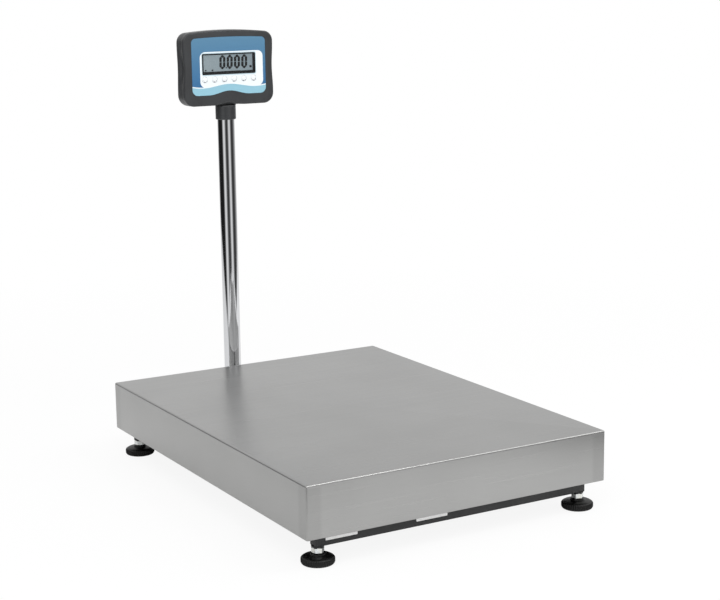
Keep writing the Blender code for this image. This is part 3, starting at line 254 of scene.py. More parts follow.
def finished(name, vertices, faces, surface_material, body, replaces=(), angle=35):
    """Make a mesh piece: weld its doubles, turn its faces out, shade it and let it ride."""
    mesh = bpy.data.meshes.new(name)
    mesh.from_pydata([tuple(v) for v in np.asarray(vertices).tolist()], [], faces)
    bm = bmesh.new()
    bm.from_mesh(mesh)
    bmesh.ops.remove_doubles(bm, verts=bm.verts, dist=0.000002)
    bmesh.ops.recalc_face_normals(bm, faces=bm.faces)
    bm.to_mesh(mesh)
    bm.free()
    mesh.shade_smooth()
    mesh.set_sharp_from_angle(angle=math.radians(angle))
    mesh.materials.append(surface_material)
    piece = bpy.data.objects.new(name, mesh)
    bpy.context.scene.collection.objects.link(piece)
    if body:
        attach(piece, body)
        if replaces:
            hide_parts(*replaces)
    return piece


def grid_faces(rows, columns, around=True):
    """Quads between the rows of a grid of points, closed round its columns or left open."""
    i, j = np.meshgrid(np.arange(rows - 1), np.arange(columns if around else columns - 1), indexing="ij")
    k = (j + 1) % columns
    quads = np.stack((i * columns + j, i * columns + k, (i + 1) * columns + k, (i + 1) * columns + j), -1)
    return quads.reshape(-1, 4).tolist()


def loft(name, rows, surface_material, body=None, replaces=(), angle=35, capped=True):
    """Skin an array of closed loops, (rows, points, 3), with a flat cap on the first and last."""
    count, points = rows.shape[:2]
    faces = grid_faces(count, points)
    if capped:
        faces += [list(range(points)), list(range((count - 1) * points, count * points))]
    return finished(name, rows.reshape(-1, 3), faces, surface_material, body, replaces, angle)


def rounded_rectangle(half_x, half_y, radius, steps=6):
    """Loop of points: four quarter circles about (±(half_x-r), ±(half_y-r)), anticlockwise."""
    quarter = np.linspace(0, math.pi / 2, steps + 1)
    starts = np.arange(4) * math.pi / 2
    angles = (starts[:, None] + quarter[None, :]).ravel()
    signs = np.repeat([[1, 1], [-1, 1], [-1, -1], [1, -1]], steps + 1, 0)
    centres = signs * [half_x - radius, half_y - radius]
    return centres + radius * np.stack((np.cos(angles), np.sin(angles)), -1)


def folded_box(centre, half_x, half_y, profile, corner, steps=6):
    """Carry a profile of (inset, height) round a rounded rectangle whose corner shrinks with it."""
    loops = [np.c_[rounded_rectangle(half_x - inset, half_y - inset, max(corner - inset, LIP), steps)
                   + centre, np.full(4 * (steps + 1), height)] for inset, height in profile]
    return np.array(loops)


stainless, tree, shader, spot = material("brushed_stainless", "A7A7A6", 0.30, 1.0)
# Brushed sheet: fine lines 0.4 mm apart, drawn as 1.5 mm so that they show, long along X.
lines = grain(tree, spot, (260, 1.5, 1.5), 3.0)
cloud = grain(tree, spot, 160, 1.0)
vary(tree, shader.inputs["Roughness"], lines, 0.27, 0.34)
mottle(tree, shader, cloud, "A5A5A4", "AAAAA9")
# Painted shade: an upright band 26 mm wide at each welded corner is painted a little darker,
# standing in for the shade where the corner turns.
SHADED_CORNER_BAND = 26 * MM
half_size = (pan_high - pan_low) / 2
from_middle = add(tree, "VectorMath", {0: spot, 1: tuple(pan_centre)}, operation="SUBTRACT")
folded = add(tree, "VectorMath", {0: from_middle.outputs[0]}, operation="ABSOLUTE")
shade_band_edges = (half_size.x - SHADED_CORNER_BAND, half_size.y - SHADED_CORNER_BAND, 0)
inside = add(tree, "VectorMath", {0: folded.outputs[0], 1: shade_band_edges}, operation="SUBTRACT")
ways = add(tree, "SeparateXYZ", {"Vector": inside.outputs[0]})
nearest = add(tree, "Math", {0: ways.outputs["X"], 1: ways.outputs["Y"]}, operation="MINIMUM")
band = add(tree, "MapRange", {"Value": nearest.outputs[0], "From Min": -4 * MM, "From Max": 3 * MM})
level = add(tree, "SeparateXYZ", {"Vector": spot})
upright = add(tree, "Math", {0: level.outputs["Z"], 1: pan_high.z - 5 * MM}, operation="LESS_THAN")
painted_corner_shade = add(tree, "Math", {0: band.outputs[0], 1: upright.outputs[0]}, operation="MULTIPLY")
sheet_colour = shader.inputs["Base Color"].links[0].from_socket
corner_shade_colour = add(tree, "MixRGB", {"Fac": painted_corner_shade.outputs[0], "Color1": sheet_colour, "Color2": rgb("A0A09F")})
tree.links.new(corner_shade_colour.outputs[0], shader.inputs["Base Color"])
roughen(tree, shader, lines, 0.012)
bend = np.linspace(0, math.pi / 2, 7)
top, bottom = pan_high.z, pan_low.z
outer = np.c_[PAN_BEND * (1 - np.cos(bend)), top - PAN_BEND * (1 - np.sin(bend))]
inner = np.c_[PAN_BEND - (PAN_BEND - PAN_SHEET) * np.cos(bend),
              top - PAN_BEND + (PAN_BEND - PAN_SHEET) * np.sin(bend)][::-1]
lip = np.array([(PAN_SHEET, bottom + LIP), (PAN_SHEET - LIP, bottom), (LIP, bottom), (0, bottom + LIP)])
pan_rows = folded_box((pan_centre.x, pan_centre.y), pan_high.x, (pan_high.y - pan_low.y) / 2,
                      np.concatenate((inner, lip, outer)), PAN_CORNER)
loft("pan_sheet", pan_rows, stainless, "pan", ["pan"])

# Frame: square steel tube, mitred and welded, under a black satin powder coat.
powder, tree, shader, spot = material("black_powder_coat", "1F2021", 0.48)
# Powder coat: a slight orange peel of about 1 mm, and a faint dulling in larger patches.
roughen(tree, shader, grain(tree, spot, 1.0), 0.03)
vary(tree, shader.inputs["Roughness"], grain(tree, spot, 30), 0.42, 0.54)
mottle(tree, shader, grain(tree, spot, 60), "1D1E1F", "232425")


def cad_copy(node, surface_material, bevel_mm=0.4, angle=38, suffix="_finished"):
    """A welded copy of a node's solid, with its edges eased, which stands for the node."""
    bm = bmesh.new()
    bm.from_mesh(frame["nodes"][node].data)
    bmesh.ops.remove_doubles(bm, verts=bm.verts, dist=0.000002)
    bmesh.ops.dissolve_limit(bm, angle_limit=math.radians(0.5), verts=bm.verts, edges=bm.edges)
    mesh = bpy.data.meshes.new(node + suffix)
    bm.to_mesh(mesh)
    bm.free()
    mesh.materials.clear()
    mesh.materials.append(surface_material)
    for polygon in mesh.polygons:
        polygon.material_index = 0
    piece = bpy.data.objects.new(node + suffix, mesh)
    bpy.context.scene.collection.objects.link(piece)
    ease = piece.modifiers.new("eased_edges", "BEVEL")
    ease.width = bevel_mm * MM
    ease.segments = 3
    ease.limit_method = "ANGLE"
    ease.angle_limit = math.radians(angle)
    eased = bpy.data.meshes.new_from_object(piece.evaluated_get(bpy.context.evaluated_depsgraph_get()))
    piece.modifiers.clear()
    piece.data = eased
    eased.shade_smooth()
    eased.set_sharp_from_angle(angle=math.radians(angle))
    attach(piece, body_of[node])
    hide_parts(node)
    return piece


body_of = {n: body for body, nodes in frame["record"]["behaviour"]["bodies"].items() for n in nodes}


def dress(node, surface_material):
    """Give a node that keeps its own solid a finished material."""
    data = frame["nodes"][node]
    data.data.materials.clear()
    data.data.materials.append(surface_material)


for node in ("base_bar_front", "base_bar_rear", "base_beam", "spider_spine", "spider_arm_front",
             "spider_arm_rear", "column_arm"):
    cad_copy(node, powder, 0.25)

# Bare white labels: two stickers of vinyl film on the front bar, with nothing printed on them.
LABEL_BOTTOM = 40 * MM
LABEL_HEIGHT = 18 * MM
LABEL_FILM = 0.15 * MM
LABELS = ((-254.5 * MM, -194.7 * MM), (-80.6 * MM, -18.7 * MM))
vinyl, tree, shader, spot = material("white_vinyl", "FDFDFD", 0.35)
mottle(tree, shader, grain(tree, spot, 25), "FBFBFA", "FFFFFF")
roughen(tree, shader, grain(tree, spot, 4), 0.02)
bar_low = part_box("base_bar_front")[0]
BAR_BOSS_PROUD = 1.0 * MM
label_y = bar_low.y + BAR_BOSS_PROUD - 0.05 * MM
for number, (left, far) in enumerate(LABELS):
    outline = rounded_rectangle((far - left) / 2, LABEL_HEIGHT / 2, 1.2 * MM, 4)
    rows = np.array([np.c_[outline[:, 0] + (left + far) / 2, np.full(len(outline), y),
                           outline[:, 1] + LABEL_BOTTOM + LABEL_HEIGHT / 2]
                     for y in (label_y, label_y - LABEL_FILM)])
    loft("bare_label_%d" % (number + 1), rows, vinyl, "base")

# Load cell: machined aluminium bar with a double bore, between zinc plated spacers and screws.
aluminium, tree, shader, spot = material("machined_aluminium", "C6C8CA", 0.33, 1.0)
# Milled faces: cutter lines about 0.8 mm apart, drawn as 2 mm so that they show.
cuts = grain(tree, spot, (2, 60, 2), 2.0)
vary(tree, shader.inputs["Roughness"], cuts, 0.28, 0.42)
roughen(tree, shader, cuts, 0.01)
cad_copy("load_cell", aluminium, 0.5)
zinc, tree, shader, spot = material("zinc_plated_steel", "E6E6E2", 0.24, 1.0)
# Bright zinc: a cool white metal with faint yellow and blue patches from passivation.
mottle(tree, shader, grain(tree, spot, 7), "E8E7DF", "E0E5E8")
vary(tree, shader.inputs["Roughness"], grain(tree, spot, 2), 0.18, 0.30)
for node in ("lower_spacer", "upper_spacer", "lower_bolt_outer", "lower_bolt_inner",
             "upper_bolt_outer", "upper_bolt_inner", "column_screw_left", "column_screw_right",
             "swivel_screw", "tilt_bolt"):
    cad_copy(node, zinc, 0.35)

# Feet: a rubber sole, a black nylon wheel with a knurled rim, an M12 stud and a lock nut.
KNURLS = 44
KNURL_DEPTH = 1.1 * MM
THREAD_PITCH = 1.75 * MM
THREAD_DEPTH = 0.9 * MM
NUT_FLATS = 19 * MM
NUT_TURN = math.radians(10)
WHEEL_BORE, BORE_DEPTH = 6.3 * MM, 9.4 * MM
HUB_RADIUS, HUB_HEIGHT, RIM_HEIGHT = 12 * MM, 3 * MM, 11.5 * MM
CLEARANCE = 0.3 * MM
nylon, tree, shader, spot = material("black_glass_filled_nylon", "0B0B0B", 0.40, Specular_IOR_Level=0.3)
# Moulded nylon: a fine matt texture with slightly glossier high spots.
vary(tree, shader.inputs["Roughness"], grain(tree, spot, 3), 0.34, 0.46)
roughen(tree, shader, grain(tree, spot, 0.8), 0.02)
rubber, tree, shader, spot = material("black_rubber", "1D1D1D", 0.8)
mottle(tree, shader, grain(tree, spot, 8), "1A1A1A", "222222")
roughen(tree, shader, grain(tree, spot, 1.2), 0.05)


def eased(points, radius, steps=5):
    """Round a path's inner corners: b becomes (1-t)²a + 2t(1-t)b + t²c with a, c at r from b."""
    points = np.asarray(points, float)
    radius = np.broadcast_to(np.asarray(radius, float), len(points) - 2)[:, None]
    before, corner, after = points[:-2], points[1:-1], points[2:]
    to_before = (before - corner) / np.linalg.norm(before - corner, axis=1)[:, None]
    to_after = (after - corner) / np.linalg.norm(after - corner, axis=1)[:, None]
    t = np.linspace(0, 1, steps + 1)[:, None, None]
    curve = ((1 - t) ** 2 * (corner + radius * to_before) + 2 * t * (1 - t) * corner
             + t ** 2 * (corner + radius * to_after))
    return np.concatenate((points[:1], curve.transpose(1, 0, 2).reshape(-1, points.shape[1]), points[-1:]))


def turned(name, profile, centre, surface_material, body, replaces=(), sides=64, axis="Z",
           angle=35, radius_of=None):
    """Turn a profile of (radius, height): (r cos a, r sin a, h) + centre, with a from 0 to 2 pi.

    radius_of may change each radius by its angle and height, which makes knurls and threads.
    A profile that ends where it starts makes a ring, and any other is capped at both ends.
    """
    angles = np.arange(sides) * math.tau / sides
    radii = np.repeat(profile[:, :1], sides, 1)
    heights = np.repeat(profile[:, 1:], sides, 1)
    if radius_of is not None:
        radii = radius_of(radii, heights, angles[None, :])
    x, y, z = radii * np.cos(angles), radii * np.sin(angles), heights
    order = {"Z": (x, y, z), "Y": (x, z, y), "X": (z, x, y)}[axis]
    rows = np.stack(order, -1) + np.array(centre)
    closed = np.allclose(profile[0], profile[-1])
    return loft(name, rows, surface_material, body, replaces, angle, capped=not closed)


def threaded(radii, heights, angles):
    """Screw thread: depth times a triangle wave of height / pitch + angle / 2 pi, faded at the tip."""
    wave = np.abs(((heights / THREAD_PITCH - angles / math.tau) % 1.0) * 2 - 1)
    tip = np.clip((heights.max() - heights) / THREAD_PITCH, 0, 1)
    return radii - THREAD_DEPTH * (1 - tip * (1 - wave))


def six_sided(radii, heights, angles):
    """Radius of a hexagon by angle, (flats/2) / cos(a from the nearest flat), kept inside radii."""
    from_flat = (angles - NUT_TURN + math.pi / 6) % (math.pi / 3) - math.pi / 6
    return np.minimum(radii, (NUT_FLATS / 2) / np.cos(from_flat))


for corner in ("front_left", "front_right", "rear_left", "rear_right"):
    low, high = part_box("foot_wheel_" + corner)
    centre = ((low.x + high.x) / 2, (low.y + high.y) / 2, 0)
    rim = (high.x - low.x) / 2
    sole_low, sole_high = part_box("foot_sole_" + corner)
    sole_radius = (sole_high.x - sole_low.x) / 2
    sole = eased([(0.5 * MM, sole_high.z), (sole_radius, sole_high.z), (sole_radius - 0.3 * MM, 0),
                  (0.5 * MM, 0)], [0.3 * MM, 1.0 * MM])
    turned("sole_" + corner, sole, centre, rubber, "sole_" + corner,
           ["foot_sole_" + corner])
    rim_top, hub_foot = low.z + RIM_HEIGHT, high.z - HUB_HEIGHT
    pocket, roof = sole_radius + CLEARANCE, sole_high.z + CLEARANCE
    wheel = eased([(WHEEL_BORE, high.z - BORE_DEPTH), (WHEEL_BORE, high.z), (HUB_RADIUS, high.z),
                   (HUB_RADIUS + 0.3 * MM, hub_foot), (rim - 5 * MM, rim_top + 1.6 * MM),
                   (rim, rim_top - 1.5 * MM), (rim, low.z + 3 * MM), (rim - 2 * MM, low.z),
                   (pocket, low.z), (pocket, roof), (0.5 * MM, roof)],
                  [0.2 * MM, 1.2 * MM, 1.2 * MM, 2.5 * MM, 2.0 * MM, 1.5 * MM, 0.8 * MM, 0.3 * MM, 0.3 * MM])

    def knurled(radii, heights, angles, rim=rim):
        """Rim ribs: depth times ((1 - cos n a) / 2) to the power 0.6, fading in over the outer 3 mm."""
        edge = np.clip((radii - rim + 3 * MM) / (2.5 * MM), 0, 1)
        return radii - KNURL_DEPTH * edge * (0.5 - 0.5 * np.cos(KNURLS * angles)) ** 0.6

    turned("wheel_" + corner, wheel, centre, nylon, "wheel_" + corner,
           ["foot_wheel_" + corner], sides=KNURLS * 8, radius_of=knurled, angle=50)
    stem_low, stem_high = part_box("foot_stem_" + corner)
    stem_radius = (stem_high.x - stem_low.x) / 2
    levels = np.arange(stem_low.z, stem_high.z, THREAD_PITCH / 8)
    stem = np.c_[np.full(len(levels), stem_radius), levels]
    turned("stud_" + corner, stem, centre, zinc, "wheel_" + corner,
           ["foot_stem_" + corner], sides=40, radius_of=threaded, angle=60)
    nut_low, nut_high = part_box("lock_nut_" + corner)
    corner_radius = NUT_FLATS / math.sqrt(3)
    face = 0.47 * NUT_FLATS
    drop = (corner_radius - face) * math.tan(math.radians(30))
    bore = stem_radius + CLEARANCE
    nut = np.array([(bore, nut_low.z), (face, nut_low.z), (corner_radius, nut_low.z + drop),
                    (corner_radius, nut_high.z - drop), (face, nut_high.z), (bore, nut_high.z),
                    (bore, nut_low.z)])
    turned("nut_" + corner, nut, centre, zinc, "base", ["lock_nut_" + corner],
           sides=96, radius_of=six_sided, angle=25)
    dress("pan_rubber_" + corner, rubber)

# Column: chromed steel tube, 35 mm across, polished bright.
chrome, tree, shader, spot = material("bright_chrome", "D9DADC", 0.06, 1.0)
vary(tree, shader.inputs["Roughness"], grain(tree, spot, (20, 20, 120)), 0.045, 0.085)
low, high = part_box("column_tube")
tube_radius = (high.x - low.x) / 2
tube_centre = ((low.x + high.x) / 2, (low.y + high.y) / 2, 0)
TUBE_WALL = 1.5 * MM
TUBE_BREAK = 0.3 * MM
tube = np.array([(tube_radius - TUBE_WALL, low.z), (tube_radius - TUBE_BREAK, low.z),
                 (tube_radius, low.z + TUBE_BREAK), (tube_radius, high.z - TUBE_BREAK),
                 (tube_radius - TUBE_BREAK, high.z), (tube_radius - TUBE_WALL, high.z),
                 (tube_radius - TUBE_WALL, low.z)])
turned("column", tube, tube_centre, chrome, "base", ["column_tube"], sides=128)
cad_copy("column_holder", powder, 0.6, angle=20)

# Level: a round bubble level in a black case, filled with yellow-green spirit.
spirit, tree, shader, spot = material("green_spirit", "B6D63F", 0.08)
mottle(tree, shader, grain(tree, spot, 9), "A9CC35", "C4E052")
cad_copy("level_case", nylon, 0.3)
cad_copy("level_vial", spirit, 0.2)
bubble_clear, tree, shader, spot = material("bubble", "E9F3B8", 0.05)
mottle(tree, shader, grain(tree, spot, 5), "E4F0AA", "F2F8D0")
vial_low, vial_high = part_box("level_vial")
vial_centre = ((vial_low.x + vial_high.x) / 2, (vial_low.y + vial_high.y) / 2, 0)
dome = np.linspace(0, 1, 9)
bubble = np.c_[4.2 * MM * np.sin(dome * math.pi / 2) + 0.02 * MM,
               vial_high.z - 0.35 * MM + 0.3 * MM * np.cos(dome * math.pi / 2)][::-1]
turned("level_bubble", bubble, vial_centre, bubble_clear, "base", sides=40)
ring_line = np.array([(5.6 * MM, vial_high.z - 0.4 * MM), (6.1 * MM, vial_high.z - 0.4 * MM),
                      (6.1 * MM, vial_high.z - 0.02 * MM), (5.6 * MM, vial_high.z - 0.02 * MM),
                      (5.6 * MM, vial_high.z - 0.4 * MM)])
turned("level_ring", ring_line, vial_centre, nylon, "base", sides=48)

# Neck: dark moulded socket over the column's top, with a wide lug that the housing tilts on.
abs_grey, tree, shader, spot = material("dark_grey_abs", "343537", 0.40)
# Moulded ABS: a fine spark-eroded grain of 0.3 mm, drawn as 0.9 mm so that it shows.
roughen(tree, shader, grain(tree, spot, 0.9), 0.035)
mottle(tree, shader, grain(tree, spot, 50), "323335", "383A3C")
vary(tree, shader.inputs["Roughness"], grain(tree, spot, 12), 0.34, 0.44)
neck_low, neck_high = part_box("neck_socket")
socket_radius = (neck_high.x - neck_low.x) / 2
LUG_RADIUS = 12 * MM
LUG_STEM = 7 * MM
PIVOT_RISE = 29 * MM
LUG_FOOT = -PIVOT_RISE - 0.5 * MM
pivot = np.array((tube_centre[0], tube_centre[1], neck_high.z - LUG_RADIUS))
socket_top = pivot[2] - PIVOT_RISE
bore = tube_radius + CLEARANCE
socket = eased([(bore, high.z), (bore, neck_low.z), (socket_radius, neck_low.z),
                (socket_radius, socket_top), (0.5 * MM, socket_top)], [0.5 * MM, 2.6 * MM, 2.5 * MM], 8)
socket = np.concatenate((np.array([(0.5 * MM, high.z)]), socket))
turned("neck", socket, tube_centre, abs_grey, "neck", ["neck_socket"], sides=96)
shoulder = math.asin(LUG_STEM / LUG_RADIUS)
sweep = np.linspace(-math.pi / 2 + shoulder, 1.5 * math.pi - shoulder, 40)
lug = np.c_[LUG_RADIUS * np.cos(sweep), LUG_RADIUS * np.sin(sweep)]
lug = np.concatenate(([(LUG_STEM, LUG_FOOT)], lug, [(-LUG_STEM, LUG_FOOT)]))
# The lug is a little narrower at its two ends, which eases their edges.
lug_ends = ((-socket_radius + 0.2 * MM, 0.95), (-socket_radius + 0.8 * MM, 1.0),
            (socket_radius - 0.8 * MM, 1.0), (socket_radius - 0.2 * MM, 0.95))
lug_rows = np.array([np.c_[np.full(len(lug), pivot[0] + x), pivot[1] + lug[:, 0] * narrow,
                           pivot[2] + lug[:, 1]] for x, narrow in lug_ends])
loft("neck_lug", lug_rows, abs_grey, "neck")

# Indicator housing: two moulded ABS shells with a crowned top, a finger groove down each side
# and an arch over the neck.  The rear shell leaves a channel for the neck.
HOUSING_WIDTH, HOUSING_HEIGHT, HOUSING_RAISE = 202 * MM, 152 * MM, 48 * MM
CORNER_TOP, CORNER_BOTTOM, CROWN = 20 * MM, 22 * MM, 4 * MM
WAIST, WAIST_BACK, WAIST_HALF = 2 * MM, 1 * MM, 48 * MM
GROOVE_MOUTH, GROOVE_DEPTH = 4 * MM, 7.5 * MM
ARCH_HALF, ARCH_RISE, ARCH_INNER_RISE, ARCH_DEPTH = 36 * MM, 7 * MM, 2 * MM, 5 * MM
FACE, PARTING = -22 * MM, -12 * MM
GAP = 0.3 * MM


def swell(distance, half):
    """Smooth bump: (1 + cos(pi d / half)) / 2 inside the half width, and 0 outside it."""
    return 0.5 + 0.5 * np.cos(math.pi * np.minimum(np.abs(distance) / half, 1))


def outline(width, height, top_radius, bottom_radius, crown, arch, waist, centre_z, inset=0.0, y=0.0):
    """Loop in X and Z about the pivot: lower edge with a cosine arch, a quarter circle, a side
    drawn in by a cosine waist, a quarter circle, and a parabola for the crowned top; mirrored.
    """
    half_x, half_z = width / 2 - inset, height / 2 - inset
    top_radius = max(top_radius - inset, inset / 4, 0.2 * MM)
    bottom_radius = max(bottom_radius - inset, inset / 4, 0.2 * MM)
    turn = np.linspace(0, math.pi / 2, 11)
    flat = np.linspace(0, half_x - bottom_radius, 34)[:-1]
    lower = np.c_[flat, -half_z + arch[1] * swell(flat, arch[0])]
    foot = np.c_[half_x - bottom_radius + bottom_radius * np.sin(turn),
                 bottom_radius - half_z - bottom_radius * np.cos(turn)]
    start, end = bottom_radius - half_z, half_z - crown - top_radius
    side_z = np.linspace(start, end, 30)[1:-1]
    side = np.c_[half_x - waist[1] * swell(side_z, waist[0]), side_z]
    head = np.c_[half_x - top_radius + top_radius * np.cos(turn), end + top_radius * np.sin(turn)]
    run = np.linspace(1, 0, 22)[1:]
    upper = np.c_[(half_x - top_radius) * run, half_z - crown * run ** 2]
    half = np.concatenate((lower, foot, side, head, upper))
    whole = np.concatenate((half, half[-2:0:-1] * [-1, 1]))
    return np.c_[whole[:, 0], np.full(len(whole), y), whole[:, 1] + centre_z] + pivot


def housing(y, inset, waist, arch_rise=0.0):
    """The housing's outline at one depth behind the pivot."""
    return outline(HOUSING_WIDTH, HOUSING_HEIGHT, CORNER_TOP, CORNER_BOTTOM, CROWN,
                   (ARCH_HALF, arch_rise), (WAIST_HALF, waist), HOUSING_RAISE, inset, y)


OVERLAY = (166 * MM, 117 * MM, 9 * MM, 12 * MM, 2 * MM)
OVERLAY_ARCH = (46 * MM, 8 * MM)
OVERLAY_RAISE = HOUSING_RAISE + 4 * MM
OVERLAY_SHEET = 0.6 * MM


def film(y, inset):
    """The overlay's outline at one depth, smaller by an inset."""
    return outline(*OVERLAY, OVERLAY_ARCH, (WAIST_HALF, 0.0), OVERLAY_RAISE, inset, y)


def block(name, low, high, radius, axis="Y", steps=5):
    """A rounded block used as a cutter or body: a rounded rectangle carried along Y."""
    low, high = np.array(low), np.array(high)
    middle, half = (low + high) / 2, (high - low) / 2
    loop = rounded_rectangle(half[0], half[2], radius, steps)
    rows = np.array([np.c_[loop[:, 0] + middle[0], np.full(len(loop), y), loop[:, 1] + middle[2]]
                     for y in (low[1], high[1])])
    return loft(name, rows, abs_grey)


def rod(name, radius, centre, y_low, y_high, sides=40):
    """A round cutter along Y."""
    profile = np.array([(0.01 * MM, y_low), (radius, y_low), (radius, y_high), (0.01 * MM, y_high)])
    return turned(name, profile, (centre[0], 0, centre[1]), abs_grey, None, sides=sides, axis="Y")


def cut(piece, cutters, angle=35, delete=True):
    """Take cutters out of a piece, then shade it again."""
    for cutter in cutters:
        step = piece.modifiers.new(cutter.name, "BOOLEAN")
        step.object = cutter
        step.solver = "EXACT"
    shaped = bpy.data.meshes.new_from_object(piece.evaluated_get(bpy.context.evaluated_depsgraph_get()))
    piece.modifiers.clear()
    piece.data = shaped
    shaped.shade_smooth()
    shaped.set_sharp_from_angle(angle=math.radians(angle))
    if delete:
        for cutter in cutters:
            bpy.data.objects.remove(cutter)


def front_ring(depth, inset=0.0, waist=WAIST):
    """The front shell's outline at a depth behind its face, where the arch over the neck fades."""
    rise = ARCH_INNER_RISE + (ARCH_RISE - ARCH_INNER_RISE) * max(0.0, 1 - depth / ARCH_DEPTH)
    return housing(FACE + depth, inset, waist, rise)


arc = np.linspace(0, math.pi / 2, 8)
ROUND = 3 * MM
depth = PARTING - FACE
front_rows = [front_ring(depth, 1.2 * MM, GROOVE_MOUTH), front_ring(depth, 0.2 * MM, GROOVE_MOUTH),
              front_ring(depth - 0.3 * MM, 0.0, GROOVE_MOUTH), front_ring(depth - 3.5 * MM, 0.0, 2.6 * MM),
              front_ring(depth - 5 * MM)]
front_rows += [front_ring(ROUND * (1 - math.sin(a)), ROUND * (1 - math.cos(a))) for a in arc]
front_rows += [film(FACE, -GAP), film(FACE + OVERLAY_SHEET + GAP, -GAP)]
front = loft("front_shell", np.array(front_rows), abs_grey, "indicator", ["front_housing"])

window_low, window_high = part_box("display_window")
key_boxes = [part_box("key_%d" % i) for i in range(1, 7)]
KEY_RADIUS = 6 * MM
# A cutter reaches this far past the wall that it cuts.
PAST = 5 * MM
window_cut = block("window_cut", (window_low.x - GAP, window_low.y - PAST, window_low.z - GAP),
                   (window_high.x + GAP, pivot[1] + PARTING + PAST, window_high.z + GAP), 3 * MM)
key_cuts = [rod("key_cut_%d" % i, KEY_RADIUS + GAP, ((low.x + high.x) / 2, (low.z + high.z) / 2),
                window_low.y - PAST, pivot[1] + PARTING + PAST)
            for i, (low, high) in enumerate(key_boxes)]
CHANNEL_HALF, CHANNEL_FRONT, CHANNEL_ROOF = 21.5 * MM, 13.2 * MM, 17 * MM
HOUSING_BACK = 28 * MM
PLUNGER_HOLE = 3.2 * MM
plunger_cuts = [rod("plunger_cut_%d" % i, PLUNGER_HOLE, ((low.x + high.x) / 2, (low.z + high.z) / 2),
                    pivot[1] + PARTING - 1 * MM, pivot[1] + PARTING + PAST)
                for i, (low, high) in enumerate(key_boxes)]
channel_cut = block("channel_cut", (-CHANNEL_HALF, pivot[1] - CHANNEL_FRONT, pivot[2] - 60 * MM),
                    (CHANNEL_HALF, pivot[1] + HOUSING_BACK + PAST, pivot[2] + CHANNEL_ROOF), 1 * MM)
cut(front, [window_cut, *key_cuts, channel_cut], delete=False)

rear_path = eased(np.array([(PARTING + GAP, 0.2 * MM, GROOVE_MOUTH), (-8 * MM, 0, GROOVE_DEPTH),
                            (-1 * MM, 0, GROOVE_DEPTH), (4 * MM, 0, WAIST), (11 * MM, 0, WAIST_BACK),
                            (21 * MM, 8 * MM, WAIST_BACK), (28 * MM, 22 * MM, WAIST_BACK),
                            (28 * MM, 26 * MM, WAIST_BACK)]),
                  [1.5 * MM, 2 * MM, 2 * MM, 3 * MM, 5 * MM, 3 * MM], 6)
rear_rows = [housing(y, inset, waist) for y, inset, waist in rear_path]
rear = loft("rear_shell", np.array(rear_rows), abs_grey, "indicator", ["rear_housing"])
cover_low, cover_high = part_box("battery_cover")
gland_low, gland_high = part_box("cable_gland")
inlet_low, inlet_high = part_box("charger_inlet")
back_y = pivot[1] + HOUSING_BACK
seat_cut = block("seat_cut", (cover_low.x - GAP, cover_low.y - GAP, cover_low.z - GAP),
                 (cover_high.x + GAP, back_y + PAST, cover_high.z + GAP), 2 * MM)
gland_cut = rod("gland_cut", 6.3 * MM, ((gland_low.x + gland_high.x) / 2, (gland_low.z + gland_high.z) / 2),
                back_y - 10 * MM, back_y + PAST)
inlet_cut = rod("inlet_cut", 5.8 * MM, ((inlet_low.x + inlet_high.x) / 2, (inlet_low.z + inlet_high.z) / 2),
                back_y - 16 * MM, back_y + PAST)
SCREW_X, SCREW_LEVELS, SCREW_HOLE = 66 * MM, (-13 * MM, 38 * MM), 3.6 * MM
screw_spots = [(side * SCREW_X, pivot[2] + HOUSING_RAISE + z) for side in (-1, 1) for z in SCREW_LEVELS]
screw_cuts = [rod("screw_cut_%d" % i, SCREW_HOLE, place, back_y - 7 * MM, back_y + PAST)
              for i, place in enumerate(screw_spots)]
cut(rear, [channel_cut, seat_cut, gland_cut, inlet_cut, *screw_cuts, *plunger_cuts])
HEAD = 3.2 * MM
for i, (x, z) in enumerate(screw_spots):
    head = eased([(0.8 * MM, back_y - 5.2 * MM), (0.8 * MM, back_y - 4.2 * MM), (HEAD, back_y - 4.4 * MM),
                  (HEAD, back_y - 6.8 * MM), (0.3 * MM, back_y - 6.8 * MM)], 0.2 * MM, 3)
    head = np.concatenate((np.array([(0.05 * MM, back_y - 5.2 * MM)]), head))
    turned("housing_screw_%d" % (i + 1), head, (x, 0, z), zinc, "indicator", sides=32, axis="Y")
cad_copy("battery_cover", abs_grey, 0.25)
cad_copy("cable_gland", nylon, 0.3)
cad_copy("charger_inlet", nylon, 0.3)

# Overlay: a polyester film printed on its back, in blue with a white panel round the window
# and keys and a pale blue strip along its lower edge.
overlay_film, tree, shader, spot = material("printed_polyester", "3F7FB2", 0.28)
centred = add(tree, "Mapping", {"Vector": spot, "Location": tuple(-pivot), "Scale": (1, 1, 1)}).outputs[0]


def panel_mask(centre, half, radius):
    """1 inside a rounded rectangle in X and Z: |max(|p - c| - (half - r), 0)| < r."""
    shifted = add(tree, "VectorMath", {0: centred, 1: (centre[0], 0, centre[1])}, operation="SUBTRACT")
    flat = add(tree, "VectorMath", {0: shifted.outputs[0], 1: (1, 0, 1)}, operation="MULTIPLY")
    folded = add(tree, "VectorMath", {0: flat.outputs[0]}, operation="ABSOLUTE")
    inner = (half[0] - radius, 0, half[1] - radius)
    outside = add(tree, "VectorMath", {0: folded.outputs[0], 1: inner}, operation="SUBTRACT")
    clipped = add(tree, "VectorMath", {0: outside.outputs[0], 1: (0, 0, 0)}, operation="MAXIMUM")
    length = add(tree, "VectorMath", {0: clipped.outputs[0]}, operation="LENGTH")
    return add(tree, "Math", {0: length.outputs["Value"], 1: radius}, operation="LESS_THAN").outputs[0]


def printed(under, mask, code):
    """Print one colour over another where a mask is 1."""
    return add(tree, "MixRGB", {"Fac": mask, "Color1": under, "Color2": rgb(code)}).outputs[0]


